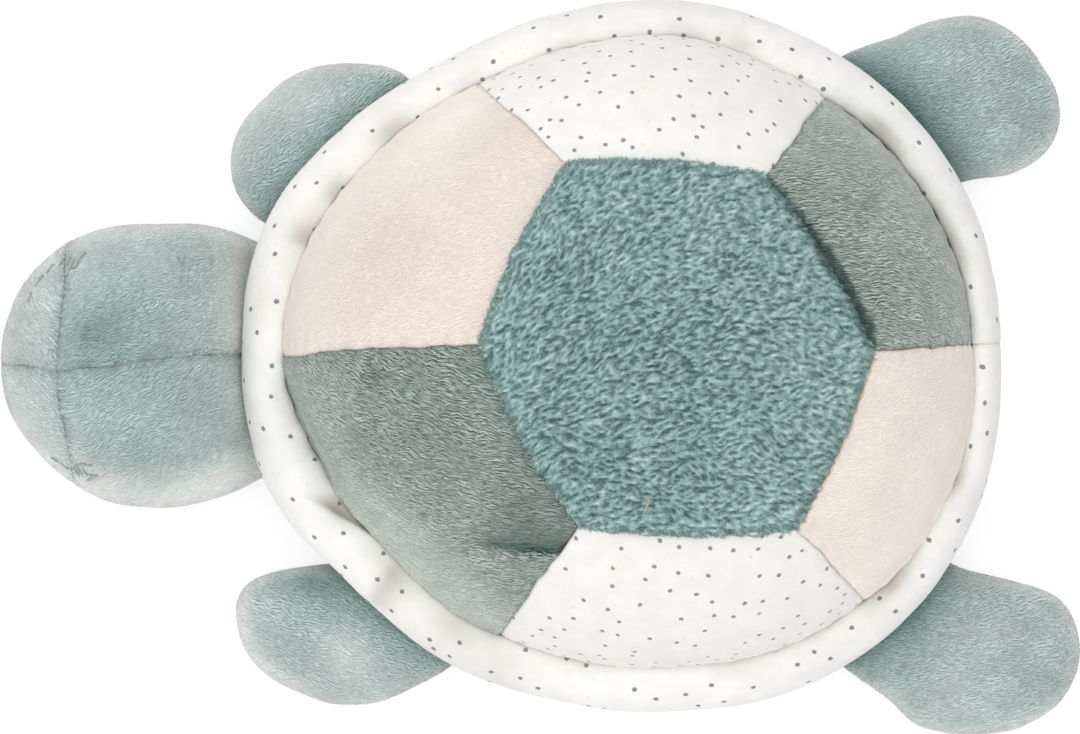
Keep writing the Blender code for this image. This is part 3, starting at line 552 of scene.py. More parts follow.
class Nodes:
    """A material's node tree, with short calls that add to it and return a socket."""

    def __init__(self, name):
        self.material = bpy.data.materials.new(name)
        self.material.use_nodes = True
        self.tree = self.material.node_tree
        self.shader = self.tree.nodes["Principled BSDF"]

    def put(self, socket, value):
        if isinstance(value, bpy.types.NodeSocket):
            self.tree.links.new(value, socket)
        else:
            socket.default_value = value

    def node(self, kind, inputs=None, **settings):
        made = self.tree.nodes.new(kind)
        for key, value in settings.items():
            setattr(made, key, value)
        for key, value in (inputs or {}).items():
            self.put(made.inputs[key], value)
        return made

    def math(self, operation, *values):
        return self.node("ShaderNodeMath", dict(enumerate(values)), operation=operation).outputs[0]

    def vector(self, operation, inputs):
        return self.node("ShaderNodeVectorMath", inputs, operation=operation).outputs[0]

    def span(self, value, low, high, start=0.0, end=1.0):
        """The value's way from low to high, drawn smoothly from start to end."""
        return self.node("ShaderNodeMapRange", {"Value": value, "From Min": low, "From Max": high, "To Min": start,
                                                "To Max": end}, interpolation_type="SMOOTHSTEP").outputs["Result"]

    def mix(self, share, one, two, blend="MIX"):
        return self.node("ShaderNodeMix", {0: share, 6: one, 7: two}, data_type="RGBA", blend_type=blend).outputs[2]

    def cloth_uv(self):
        return self.node("ShaderNodeUVMap", uv_map="nap").outputs["UV"]

    def place(self):
        return self.node("ShaderNodeTexCoord").outputs["Object"]

    def attribute(self, name):
        return self.node("ShaderNodeAttribute", attribute_name=name).outputs["Fac"]

    def scaled(self, vector, scale, shift=(0, 0, 0), turn=0):
        return self.node("ShaderNodeMapping", {"Vector": vector, "Scale": scale, "Location": shift,
                                               "Rotation": (0, 0, math.radians(turn))}).outputs[0]

    def noise(self, vector, scale, detail=2.0, rough=0.5, distortion=0.0, dimensions="2D", output="Fac"):
        return self.node("ShaderNodeTexNoise", {"Vector": vector, "Scale": scale, "Detail": detail, "Roughness": rough,
                                                "Distortion": distortion}, noise_dimensions=dimensions).outputs[output]

    def warped(self, vector, scale, amount):
        """The vector pushed about by smooth noise."""
        push = self.vector("SUBTRACT", {0: self.noise(vector, scale, 1.0, output="Color"), 1: (0.5, 0.5, 0.5)})
        return self.vector("ADD", {0: vector, 1: self.vector("SCALE", {0: push, "Scale": amount})})

    def bump(self, height, strength, distance):
        return self.node("ShaderNodeBump", {"Height": height, "Strength": strength, "Distance": distance}).outputs[0]

    def finish(self, colour, normal, roughness, sheen, sheen_rough, tint):
        for key, value in (("Base Color", colour), ("Normal", normal), ("Roughness", roughness),
                           ("Specular IOR Level", 0.15), ("Sheen Weight", sheen), ("Sheen Roughness", sheen_rough),
                           ("Sheen Tint", linear(tint))):
            self.put(self.shader.inputs[key], value)
        return self.material


def minky(name, colours, sheen, painted_emboss_strength, patchy, depth, stroke):
    """Short pile: wavy strokes along the nap with painted light and shade, random patches, painted seam shade, painted
    sheen.
    """
    light, dark, groove, pale, fold = (linear(levels) for levels in colours)
    n = Nodes(name)
    uv = n.cloth_uv()
    bent = n.warped(n.warped(uv, 110, 0.0028), 480, 0.0007)

    def strokes(shift):
        wide = n.noise(n.scaled(bent, (*stroke, 1), (0, shift, 0)), 1.0, 2.0, 0.5, 0.3)
        fine = n.noise(n.scaled(bent, (2.3 * stroke[0], 1.9 * stroke[1], 1), (3.1, 1.7 + 1.9 * shift, 0)), 1.0, 1.0)
        return n.math("ADD", wide, n.math("MULTIPLY", fine, 0.4))

    height = strokes(0)
    # Painted light and shade on the strokes' sides: their height less a copy shifted across the nap
    painted_emboss = n.math("SUBTRACT", height, strokes(0.32))
    patches = n.noise(n.scaled(uv, (1, 1, 1), (0.31, 0.17, 0)), 60)
    tone = n.attribute("tone")
    # Tone above 0 pales the pile as painted light, with some random tone, and flattens the painted emboss
    painted_light = n.math("MAXIMUM", tone, 0.0)
    painted_emboss_gain = n.math("MULTIPLY", painted_emboss, n.math("MULTIPLY_ADD", painted_light, -0.55 * painted_emboss_strength, painted_emboss_strength))
    gain = n.math("ADD", n.span(patches, 0.3, 0.7, 1 - patchy, 1 + patchy), painted_emboss_gain)
    # Painted shade in the strokes' hollows, where the dark colour lies
    colour = n.mix(painted_light, n.mix(n.span(height, 0.50, 0.90), dark, light), pale)
    colour = n.vector("SCALE", {0: colour, "Scale": gain})
    # Tone below 0 multiplies in the fold colour as painted shade
    colour = n.mix(n.math("MULTIPLY", tone, -0.85), colour, fold, "MULTIPLY")
    ragged = n.span(n.noise(uv, 600), 0.35, 0.62, 0.15, 0.8)
    # Painted shade in the seams
    colour = n.mix(n.math("MULTIPLY", n.attribute("seam"), ragged), colour, groove)
    facing = n.node("ShaderNodeLayerWeight", {"Blend": 0.5}).outputs["Facing"]
    # Painted sheen: paler where the cloth turns away from the view
    colour = n.mix(n.math("MULTIPLY", n.math("POWER", facing, 3.0), 0.5), colour, pale)
    return n.finish(colour, n.bump(height, depth, 0.0011), 0.92, sheen, 0.4, colours[3])


def dotted_cotton(name, dots):
    """Brushed white cotton with scattered printed dots."""
    n = Nodes(name)
    uv = n.cloth_uv()
    weave = n.noise(n.scaled(n.warped(uv, 400, 0.001), (900, 2300, 1)), 1.0, 3.0, 0.6)
    soft = n.noise(uv, 150)
    wobble = n.warped(uv, 1500, 0.0004)
    level = n.math("ADD", n.span(soft, 0.3, 0.7, 0.1, 0.6), n.math("MULTIPLY", weave, 0.5))
    colour = n.mix(level, linear((236, 235, 232)), linear((245, 244, 241)))
    # Painted shade: tone below 0 mixes in a grey-brown, in the rim's dents, folds and shaded patches
    colour = n.mix(n.math("MULTIPLY", n.attribute("tone"), -1.0), colour, linear((167, 159, 150)))
    for spacing, shift, share, radius, ink, strength in dots:
        scale = (1 / (spacing * MM), 1.12 / (spacing * MM), 1)
        cells = n.node("ShaderNodeTexVoronoi", {"Vector": n.scaled(wobble, scale, shift, 24), "Scale": 1.0,
                                                "Randomness": 0.74}, voronoi_dimensions="2D", feature="F1").outputs
        pick = n.node("ShaderNodeSeparateColor", {"Color": cells["Color"]}).outputs["Red"]
        size = n.math("MULTIPLY_ADD", pick, 0.15 * radius / spacing, 0.92 * radius / spacing)
        edge = n.math("SUBTRACT", cells["Distance"], size)
        inside = n.math("SUBTRACT", 1.0, n.span(edge, -0.13 / spacing, 0.14 / spacing))
        amount = n.math("MULTIPLY", n.math("MULTIPLY", inside, n.math("LESS_THAN", pick, share)), strength)
        colour = n.mix(amount, colour, linear(ink))
    # Painted shade in the seams
    colour = n.mix(n.math("MULTIPLY", n.attribute("seam"), 0.14), colour, linear((196, 188, 182)))
    height = n.math("ADD", weave, n.math("MULTIPLY", soft, 0.8))
    return n.finish(colour, n.bump(height, 0.35, 0.0004), 0.9, 0.2, 0.5, (255, 253, 250))


def fleece_ground():
    """The knitted ground under the pile."""
    n = Nodes("teal_fleece_ground")
    curls = n.noise(n.warped(n.cloth_uv(), 300, 0.002), 620, 3.0, 0.6)
    colour = n.mix(n.span(curls, 0.3, 0.7), linear((80, 112, 110)), linear((120, 152, 150)))
    return n.finish(colour, n.bump(curls, 0.8, 0.0012), 0.95, 0.2, 0.5, (190, 215, 212))


def fleece_pile():
    """The pile: painted shade between its tufts and painted light on them, with fine curled fibres."""
    n = Nodes("teal_fleece_pile")
    where = n.place()
    fibres = n.noise(n.warped(where, 600, 0.0015), 2300, 3.0, 0.6, dimensions="3D")
    drift = n.noise(where, 70, dimensions="3D")
    level = n.math("ADD", n.attribute("tone"), n.span(fibres, 0.3, 0.7, -0.14, 0.14))
    level = n.math("ADD", level, n.span(drift, 0.3, 0.7, -0.06, 0.06))
    lower = n.mix(n.span(level, 0.0, 0.5), linear((86, 121, 119)), linear((150, 182, 179)))
    colour = n.mix(n.span(level, 0.5, 1.0), lower, linear((190, 216, 212)))
    return n.finish(colour, n.bump(fibres, 0.5, 0.0006), 0.92, 0.2, 0.5, (225, 240, 238))


def thread(name, light, dark):
    """Twisted sewing or embroidery thread."""
    n = Nodes(name)
    where = n.place()
    ply = n.node("ShaderNodeTexWave", {"Vector": where, "Scale": 900.0, "Distortion": 3.0, "Detail": 2.0},
                 bands_direction="DIAGONAL").outputs["Fac"]
    share = n.math("MULTIPLY_ADD", n.noise(where, 2500, dimensions="3D"), 0.5, n.math("MULTIPLY", ply, 0.5))
    return n.finish(n.mix(share, linear(dark), linear(light)), n.bump(share, 0.5, 0.0002), 0.65, 0.2, 0.4, WHITE)


def wadding():
    """White polyester filling."""
    n = Nodes("white_wadding")
    fluff = n.noise(n.place(), 260, 4.0, 0.7, 1.0, "3D")
    colour = n.mix(fluff, linear((226, 226, 223)), linear((250, 250, 248)))
    return n.finish(colour, n.bump(fluff, 0.8, 0.002), 0.95, 0.3, 0.5, WHITE)


# ---------------------------------------------------------------- the shell

def dome_radius(degrees):
    return SHELL_RADIUS * share_at(DOME_SHARES, degrees)


def rim_radius(degrees):
    return SHELL_RADIUS * share_at(RIM_SHARES, degrees)


def on_dome(places):
    """Points of the dome above level places."""
    full = np.ones(places.shape[:-1])
    for _ in range(12):
        offset = places - DOME_PEAK * (1 - full)[..., None]
        full = np.linalg.norm(offset, axis=-1) / dome_radius(angle_of(offset))
    return joined(places, DOME_SEAM_LEVEL + DOME_HEIGHT * roundness(np.minimum(full, 1), DOME_POWER))


def hexagon_point(number, along):
    """Places on one side of the top panel's edge, from its first corner at 0 to its last at 1."""
    corners = [HEXAGON_MIDDLE + toward(panel.corner) * HEXAGON_REACH * share
               for panel, share in zip(SHELL_PANELS, HEXAGON_CORNER_SHARES)]
    start, end = corners[number], corners[(number + 1) % 6]
    along = np.asarray(along, float)[..., None]
    bow = unit((start + end) / 2 - HEXAGON_MIDDLE) * HEXAGON_BOW * 4 * along * (1 - along)
    return start + (end - start) * along + bow


def groove_depth(number, along):
    """How deep the seam round the top panel is drawn in: deepest along the rear right side."""
    deep = np.sin(np.pi * np.clip(along, 0, 1)) ** 0.5
    return np.where(np.asarray(number) == 0, 0.6 + 2.2 * deep, 0.6 + 0.15 * deep) * MM


def groove_width(number):
    """How wide that seam is drawn in, in mm."""
    return np.where(np.asarray(number) == 0, 7.0, 3.0)


def dome_end(number):
    """The angle where a shell panel ends at the rim."""
    return SHELL_PANELS[(number + 1) % 6].start + (360 if number == 5 else 0)


def edge_drop(degrees):
    """How deep the seam between the dome and the rim is drawn in, least beside the white panels."""
    depth = 0 * np.asarray(degrees, float)
    for number, panel in enumerate(SHELL_PANELS):
        inside = ((degrees - panel.start) % 360) / (dome_end(number) - panel.start)
        deep = 0.3 + (CLOTHS[panel.cloth].drop - 0.3) * np.sin(np.pi * inside.clip(0, 1)) ** 0.6
        depth = np.where(inside < 1, deep, depth)
    return depth * MM


def shell_world(grid):
    return grid + np.array([*SHELL_PLACE, 0])


def crease(grid):
    """The fold in the front left panel: how strong it is, how far above it a point lies, and how far along it."""
    beside, above = fold_line(shell_world(grid), *CREASE)
    return smooth(beside * 2.6), above + lumps(grid, 0.5, 6, 86), beside.clip(0, 1.1)


def crease_lift(grid, creased, above):
    """The cloth's rise and fall across that fold, and the dimple beside the front seam."""
    lift = creased * MM * (0.9 * bell(above + 2.0 * MM, 2.4) - 1.5 * bell(above - 1.3 * MM, 2.0)
                           - 0.6 * bell(above - 5 * MM, 4.5))
    return lift + 0.5 * MM * on_picture(shell_world(grid), SAGE_DIMPLE)


def front_left_tone(grid, a, top, outwards, gap, creased, above, beside):
    """The front left panel's tone: painted light outwards and combed below its fold, painted shade over it and in its
    slit along the rim.
    """
    tone = 0.85 * smooth(1 - outwards / (17 * MM)) * (0.25 + 0.75 * smooth(a * 1.6))[:, None] - 0.2 * bell(top, 3)
    tone += on_picture(shell_world(grid), FRONT_LEFT_SHADES)
    over_it, under_it = smooth(above / (0.8 * MM) + 0.5), smooth(0.5 - above / (0.8 * MM))
    tone -= creased * over_it * (0.65 + 0.75 * beside) * np.exp(-above.clip(0) / (5.5 * MM))
    combed = 0.2 * np.sin(beside * 95 + 2 * noise(grid, 5, 88))
    tone += creased * under_it * (0.22 + combed) * np.exp(above.clip(None, 0) / (4.5 * MM))
    reach = (0.45 + 0.75 * np.exp(-((a - 0.22) / 0.09) ** 2))[:, None] * MM + lumps(grid, 0.35, 1.5, 89)
    slit = smooth((reach - outwards) / (0.5 * MM) + 0.5) * gap[:, None]
    return tone - 0.9 * slit, slit


def rear_right_tone(grid, a, top, outwards):
    """The rear right panel's tone: painted light outwards, and painted shade by the top panel, darkest in a band where
    its pile parts.
    """
    middle = 0.45 + 0.55 * np.sin(np.pi * a)[:, None]
    reach = (np.interp(a, (0, 0.12, 0.3, 0.55, 0.8, 1), (2.4, 3.6, 3.7, 3.0, 2.3, 1.8)) * MM)[:, None]
    ragged = lumps(grid, 0.7, 1.3, 87) + lumps(grid, 0.5, 3, 85)
    band = smooth((reach + ragged - top) / (1.3 * MM))
    return 0.35 * smooth(1 - outwards / (9 * MM)) - 0.38 * bell(top, 10) * middle - 1.05 * band, 0.95 * band


def side_panel(number, material):
    """One of the six panels between the top panel and the rim."""
    panel = SHELL_PANELS[number]
    name, cloth = panel.name, CLOTHS[panel.cloth]
    cotton = panel.cloth == "dotted_cotton"
    end = dome_end(number)
    a, b = (np.linspace(0, 1, count) for count in SIDE_GRID)
    b = 1 - (1 - b) ** 1.9
    angles = panel.start + (end - panel.start) * a
    inner = hexagon_point(number, a)[:, None]
    outer = (toward(angles) * dome_radius(angles)[:, None])[:, None]
    places = inner + (outer - inner) * b[None, :, None]
    wander = sway(places, 0.5, 3, (41, 42)) + sway(places, 0.6, 9, (41, 42))
    grid = on_dome(places + wander * np.minimum(1, 4 * b * (1 - b))[None, :, None])
    normal, left, right, top, low = strip(grid)
    beside = np.minimum(left, right)

    before, after = (0.14 if {number, other % 6} in SHALLOW_SEAMS else 0.4 for other in (number - 1, number + 1))
    drawn = np.maximum.reduce([before * MM * tuck(left, 3), after * MM * tuck(right, 3),
                               edge_drop(angles)[:, None] * tuck(low, 3),
                               groove_depth(number, a)[:, None] * tuck(top, groove_width(number))])
    gap = smooth((0.40 - a) * 8) * smooth(a * 9) if name == "front_left" else 0 * a
    held = np.sin(np.pi * a).clip(0) ** 0.5 * (1 - 0.9 * gap)
    rows = ripples(grid, top, 2.6, 2.5, 8, 60 + number) * bell(beside, 4)
    lift = SIDE_PUFF * pillow(a, b) - drawn
    lift += panel.bulge * MM * bell(low - 4.2 * MM, 3.2) * held[:, None]
    lift -= 0.5 * MM * gap[:, None] * bell(low, 1.5)
    lift += 0.2 * MM * ripples(grid, left, 3.3, 2.5, 9, 50) * bell(low, 6) * smooth(beside / (5 * MM))
    lift += (0.048 if cotton else 0.12) * MM * rows
    lift += lumps(grid, 0.3, 22, 70) + lumps(grid, 0.16, 9, 80)
    if name == "front_left":
        fold = crease(grid)
        lift += crease_lift(grid, *fold[:2])
    grid = grid + normal * lift[..., None]

    # Painted shade along the seams
    seam = cloth.seam * bell(np.minimum(beside, np.minimum(top, low)), 0.55)
    # Tone: painted light over the whole panel (below 0, painted shade), lighter on the ripples' crests, darker in their
    # troughs
    tone = panel.tone + (0 if cotton else 0.10) * rows
    outwards = (1 - b)[None] * np.linalg.norm(outer - inner, axis=-1)
    dark = 0
    if name == "rear_right":
        shade, dark = rear_right_tone(grid, a, top, outwards)
        tone += shade
    if name == "front_left":
        shade, dark = front_left_tone(grid, a, top, outwards, gap, *fold)
        tone += shade
    if panel.cloth == "blush_minky":
        # Painted light towards the outer edge, and painted patches
        tone += 0.55 * smooth(1 - outwards / (17 * MM)) + on_picture(shell_world(grid), BLUSH_SHADES)
    flat = np.stack([top + 30 * MM, left - left[-1:] / 2], axis=-1)
    world, uv = shell_world(grid), turned(flat, panel.nap - (panel.start + end) / 2)
    looks = Looks(material, "shell", panel.cloth)
    # The seam values also carry the painted shade of the rear right band and of the front left slit
    sew("shell_%s_cloth" % name, "shell_%s_panel" % name, world, uv, np.maximum(seam, dark), tone, looks, cloth.thick)
    if cloth.pile:
        edges = [("left", int(900 * cloth.pile), 2.2), ("right", int(900 * cloth.pile), 2.2),
                 ("low", int(1700 * cloth.pile), 6)]
        edge_pile("shell_%s_edge_pile" % name, world, uv, tone, looks, edges, cloth.fibre, 300 + number)


def hexagon_surface(number, along, share, places, reach):
    """Points of the top panel's ground at shares of the way out to its edge, with its dips and lumps."""
    grid = on_dome(places)
    inwards = (1 - share) * reach * 0.92
    grid[..., 2] += (HEXAGON_PUFF * (1 - share ** 2) - groove_depth(number, along) * tuck(inwards, groove_width(number))
                     + lumps(grid, 0.5, 14, 11))
    return grid, inwards


def top_panel(material):
    """The knitted ground of the six-sided top panel."""
    wide, high = TOP_SIDE_GRID
    share = np.linspace(0, 1, high) * (1 - TOP_GAP)
    along = np.arange(wide) / wide
    sides = []
    for number in range(6):
        edge = hexagon_point(number, along) - HEXAGON_MIDDLE
        places = HEXAGON_MIDDLE + edge[:, None] * share[None, :, None]
        sides.append(hexagon_surface(number, along[:, None], share[None], places,
                                     np.linalg.norm(edge, axis=-1)[:, None]))
    grid, inwards = (np.concatenate(parts) for parts in zip(*sides))
    grid[:, 0] = grid[:, 0].mean(axis=0)
    uv = round_uv(grid, angle_of(grid[:, -1, :2] - HEXAGON_MIDDLE))
    seam = bell(inwards, 1.0)
    grid[..., 2] += lumps(grid, 0.25, 2.2, 12)
    sew("shell_top_fleece", "shell_top_panel", shell_world(grid), uv, seam, seam * 0,
        Looks(material, "shell", "teal_fleece"), FLEECE_THICK, whole=True)


def streaks(flat, way, width, reach, seed):
    """Noise of this size in mm drawn out this far along a way, as combed tufts are."""
    steps = np.linspace(-1, 1, 7)
    total = sum(math.exp(-1.2 * step ** 2) * noise(flat + way * (step * reach * MM), width, seed) for step in steps)
    return total / total.std()


def pile(material):
    """The curled pile of the top panel: a matted layer of tufts, fine fibres over it, and a fringe over its seams."""
    half = 51 * MM
    step = 2 * half / PILE_CELLS
    axis = -half + step * np.arange(PILE_CELLS + 1)
    offset = np.stack(np.meshgrid(axis, axis, indexing="ij"), axis=-1)
    distance = np.linalg.norm(offset, axis=-1)
    table = np.linspace(0, 6, 1201)[:-1]
    edge = np.concatenate([hexagon_point(side, table[table.astype(int) == side] - side) for side in range(6)])
    edge = edge - HEXAGON_MIDDLE
    starts = np.unwrap(angle_of(edge), period=360)
    angles = (angle_of(offset) - starts[0]) % 360 + starts[0]
    spot, reach = (np.interp(angles, np.append(starts, starts[0] + 360), np.append(values, last)) for values, last in
                   ((table, 6), (np.linalg.norm(edge, axis=-1), np.linalg.norm(edge[0]))))
    spot = spot % 6
    share = distance / reach
    side = spot.astype(int)
    grid, _ = hexagon_surface(side, spot - side, share.clip(0, 1), HEXAGON_MIDDLE + offset, reach)
    inwards = (1 - share) * reach
    normal = grid_normals(grid[:, ::-1])[:, ::-1]
    normal = normal * np.sign(normal[..., 2:])

    across, up = offset[..., 0] / half, offset[..., 1] / half
    heading = 10 - 28 * across + 12 * up + 26 * noise(grid, 9, 205) + 34 * noise(grid, 2.4, 206)
    way = joined(toward(heading), 0.0)
    flat = grid * np.array([1, 1, 0.0])
    tufts, small = streaks(flat, way, 0.7, 0.85, 207), streaks(flat, way, 0.45, 0.45, 208)
    height = (0.5 + 0.23 * tufts + 0.12 * small).clip(0, 1.1)
    mat = grid + normal * (0.5 + 0.9 * smooth(inwards / (2.6 * MM)) + height * 0.95)[..., None] * MM
    # Tone is painted light and shade: light on the tufts, dark between them, lighter on their sides facing +y
    painted_emboss = tufts - np.roll(tufts, -1, axis=1)
    tone = 0.44 + 0.11 * tufts + 0.08 * small + 0.04 * noise(grid, 9, 209) + 0.13 * (painted_emboss / painted_emboss.std()).clip(-2, 2)
    # Painted light towards +x and +y, and darker in the middle
    tone += 0.06 * across + 0.05 * up - 0.09 * bell(distance, 22)
    # Painted shade in the groove along the rear right side, painted light along the other seams
    groove = np.where(side == 0, bell(inwards, 2.2) * np.sin(np.pi * (spot - side)).clip(0) ** 0.5, 0)
    tone += 0.18 * bell(inwards, 1.5) * (side != 0) - 0.4 * groove
    inside = inwards > -0.2 * MM
    index = np.arange(inside.size).reshape(inside.shape)
    quads = np.stack([index[:-1, :-1], index[1:, :-1], index[1:, 1:], index[:-1, 1:]], axis=-1)
    quads = quads[inside.ravel()[quads].all(axis=-1)]
    kept, quads = np.unique(quads, return_inverse=True)
    tones, grooves, bearing = tone.ravel(), groove.ravel(), heading.ravel()
    mat, normal, outward = (rows.reshape(-1, 3) for rows in (mat, normal, joined(unit(offset), 0.0)))
    mesh = write_mesh("shell_top_pile", shell_world(mat[kept]), [quads.reshape(-1, 4)], flat.reshape(-1, 3)[kept, :2],
                      0 * tones[kept], tones[kept])
    looks = Looks(material, "shell", "teal_fleece")
    add_piece("shell_top_pile", mesh, looks)

    generator = np.random.default_rng(7)
    body = np.flatnonzero((inwards > 0.3 * MM).ravel())
    border = np.flatnonzero(((inwards < 1.8 * MM) & inside).ravel())
    for name, source, count, long, pull in (("shell_top_fibres_front", body[: len(body) // 2], 17000, 1.45, 0.0),
                                            ("shell_top_fibres_rear", body[len(body) // 2:], 17000, 1.45, 0.0),
                                            ("shell_top_fringe", border, 6000, 1.5, 1.0)):
        def scatter():
            return generator.normal(0, 1, count)

        chosen = generator.choice(source, count)
        facing = normal[chosen]
        root = mat[chosen] - facing * 0.1 * MM
        root[:, :2] += generator.uniform(-0.5, 0.5, (count, 2)) * step
        turn = bearing[chosen] + 22 * scatter() + 180 * (generator.random(count) < 0.05)
        lean = joined(toward(turn), 0.0) * (1 - 0.5 * pull) + outward[chosen] * 0.9 * pull
        lean = unit(lean - facing * np.sum(lean * facing, axis=-1, keepdims=True))
        length = (long + 0.35 * scatter()).clip(0.7, 2.4) * MM
        radius = 0.10 * (0.75 + 0.5 * generator.random(count)) * MM
        rise = (0.22 + 0.16 * scatter()).clip(0.02, 0.6)
        curl = 0.35 * noise(root, 1.6, 33) + 0.16 * scatter()
        # The fringe is painted lighter, and painted shade darkens it in the rear right groove
        shade = tones[chosen] * (1 - 0.4 * pull) + 0.27 * pull + 0.15 * scatter() + 0.06 - 0.25 * grooves[chosen] * pull
        add_piece(name, pile_strands(name, shell_world(root), facing, lean, length, radius, rise, curl, shade), looks)


def rim_band(material):
    """The puffy band round the shell, gathered along the dome and joined once at the rear."""
    wide, over_crown, under_crown = RIM_GRID
    angles = RIM_SEAM + 360 * (np.linspace(0, 1, wide) * (1 - RIM_GAP) + RIM_GAP / 2)
    turns, unders = np.linspace(0, 180, over_crown), np.linspace(0, 1, under_crown + 1)[1:]
    dome, rim = dome_radius(angles)[:, None], rim_radius(angles)[:, None]
    top = dome + (rim - dome) * (1 - np.cos(np.radians(turns)))[None] / 2
    level = DOME_SEAM_LEVEL + (RIM_LEVEL - DOME_SEAM_LEVEL) * turns / 180 + RIM_CROWN * np.sin(np.radians(turns))
    turn = 2 * unders * (1 - unders)
    low = rim - (turn * RIM_TURN + unders ** 2 * RIM_TUCK)[None]
    low_level = (1 - unders) ** 2 * RIM_LEVEL + turn * (RIM_LEVEL - RIM_DROP) + unders ** 2 * BELLY_SEAM_LEVEL
    radius = np.concatenate([top, low], axis=1)
    grid = joined(toward(angles)[:, None] * radius[..., None], np.concatenate([level, low_level])[None])
    normal, along, _, down, up = strip(grid)
    middle = along[:, 30:31]
    spin = np.concatenate([turns, 180 + unders * 90])[None]

    upper = smooth((190 - spin) / 20)
    lift = np.zeros(grid.shape[:2])
    # Painted shade from the listed patches on the upper side, and a little beside the dome's seam
    tone = on_picture(shell_world(grid), RIM_SHADES) * upper - 0.04 * bell(down, 4)
    for angle, over, depth, width in RIM_DENTS:
        distance = np.radians((angles - angle + 180) % 360 - 180)[:, None] * rim
        lift -= depth * MM * bell(distance, width) * np.exp(-((spin - over) / 42) ** 2)
        # Painted shade in the dent
        tone -= 0.26 * depth * bell(distance, 0.8 * width) * np.exp(-((spin - 0.75 * over) / 36) ** 2)
    for start, end, width, depth, amount, softness in RIM_FOLDS:
        beside, left = fold_line(shell_world(grid), start, end)
        left += lumps(grid, 0.5, 5, 96)
        fold = smooth(left / (softness * MM) + 0.4) * bell(left.clip(0), width)
        fold *= smooth(beside * 2.5) * smooth((1.08 - beside) * 4) * upper
        lift -= depth * MM * fold
        # Painted shade along the fold
        tone += amount * fold
    phase = 2.2 * noise(grid * np.array([1, 1, 0.3]), 13, 90)
    gathers = np.sin(middle / (4.6 * MM) * np.pi + phase) * (0.5 + 0.5 * noise(grid, 25, 91))
    under = np.sin(middle / (3.8 * MM) * np.pi + phase)
    lift += 0.3 * MM * gathers * np.exp(-((spin - 25) / 30) ** 2)
    lift += 0.35 * MM * under * np.exp(-((spin - 262) / 25) ** 2)
    lift += lumps(grid, 0.6, 19, 92) * np.sin(np.radians(spin.clip(0, 180))) + lumps(grid, 0.25, 7, 93)
    ends = np.minimum(middle, middle[-1:] - middle)
    lift -= 0.3 * MM * tuck(ends, 2)
    lift *= smooth(down / (2 * MM) + 0.15)
    drop = edge_drop(angles)[:, None]
    lift += 1.1 * (1.05 * MM - drop) * bell(down - 2.2 * MM, 2.4) - drop * (tuck(down, 2.5) + 0.3 * bell(down, 1.5))
    lift -= 1.0 * MM * tuck(up, 3)
    grid = grid + normal * lift[..., None]
    lip = grid[:, :1] - joined(toward(angles)[:, None] * 1.8 * MM, 1.1 * MM)  # tucked under the dome's edge
    grid, down, tone = (np.concatenate(parts, axis=1)
                        for parts in ((lip, grid), (down[:, :1] - 2 * MM, down), (tone[:, :1], tone)))
    # Painted shade along the seams and at the joined ends
    seam = bell(np.minimum(np.minimum(np.abs(down), down[:, -1:] - down), ends), 0.6)
    sew("shell_rim_cloth", "shell_rim_band", shell_world(grid), np.stack([middle + 0 * down, down], axis=-1), seam,
        tone, Looks(material, "shell", "dotted_cotton"), COTTON_THICK)


def belly(material):
    """The flat panel that the turtle lies on."""
    wide, inside, beside = BELLY_GRID
    angles = -np.arange(wide) * 360 / wide
    flat, side = np.linspace(0, 1, inside + 1)[:-1], np.linspace(1, 0, beside)
    rim = rim_radius(angles)[:, None]
    radius = np.concatenate([(rim - RIM_TUCK - BELLY_TURN) * flat[None], rim - RIM_TUCK - BELLY_TURN * side[None]],
                            axis=1)
    heights = np.concatenate([0 * flat, BELLY_SEAM_LEVEL * (1 - side) ** 2.6])
    grid, normal, low = whole_round(joined(toward(angles)[:, None] * radius[..., None], heights[None]))
    gathers = np.sin(np.radians(angles)[:, None] * 118 + 2 * noise(grid, 11, 95))
    grid = grid + normal * (0.3 * MM * gathers * bell(low, 5) - 1.0 * MM * tuck(low, 3))[..., None]
    grid[..., 2] = np.maximum(grid[..., 2], 0)
    # Painted shade along the seam
    seam = bell(low, 0.8)
    sew("belly_cloth", "belly_panel", shell_world(grid), round_uv(grid, angles), seam, seam * 0,
        Looks(material, "shell", "dotted_cotton"), COTTON_THICK, whole=True)


# ---------------------------------------------------------------- limbs

def limb(joint_name, heading, before, after):
    """From a limb's own axes to the world, and the places this far (mm) before and after its hinge where it bends."""
    joint = next(j for j in frame["joints"] if j["name"] == joint_name)
    place = np.array(joint["pos_m"], float)

    def to_world(grid):
        level = grid[..., :1] * toward(heading) + grid[..., 1:2] * toward(heading + 90)
        return joined(level, grid[..., 2]) + place

    return to_world, tuple(to_world(np.array([along * MM, 0, 0])) for along in (before, after))


def stretched_root(grid, root, reach):
    """The limb's root drawn back into the belly's side, where it is sewn on."""
    grid = grid.copy()
    grid[..., 0] -= reach * smooth(-grid[..., 0] / root)
    return grid


def head_middle():
    return np.array((HEAD_REACH * share_at(HEAD_SHARES, 180) - NECK_ROOT, NECK_ACROSS))


def head_edge(angles):
    """The head's outline, seen from its middle."""
    return toward(angles) * (HEAD_REACH * share_at(HEAD_SHARES, angles))[:, None]


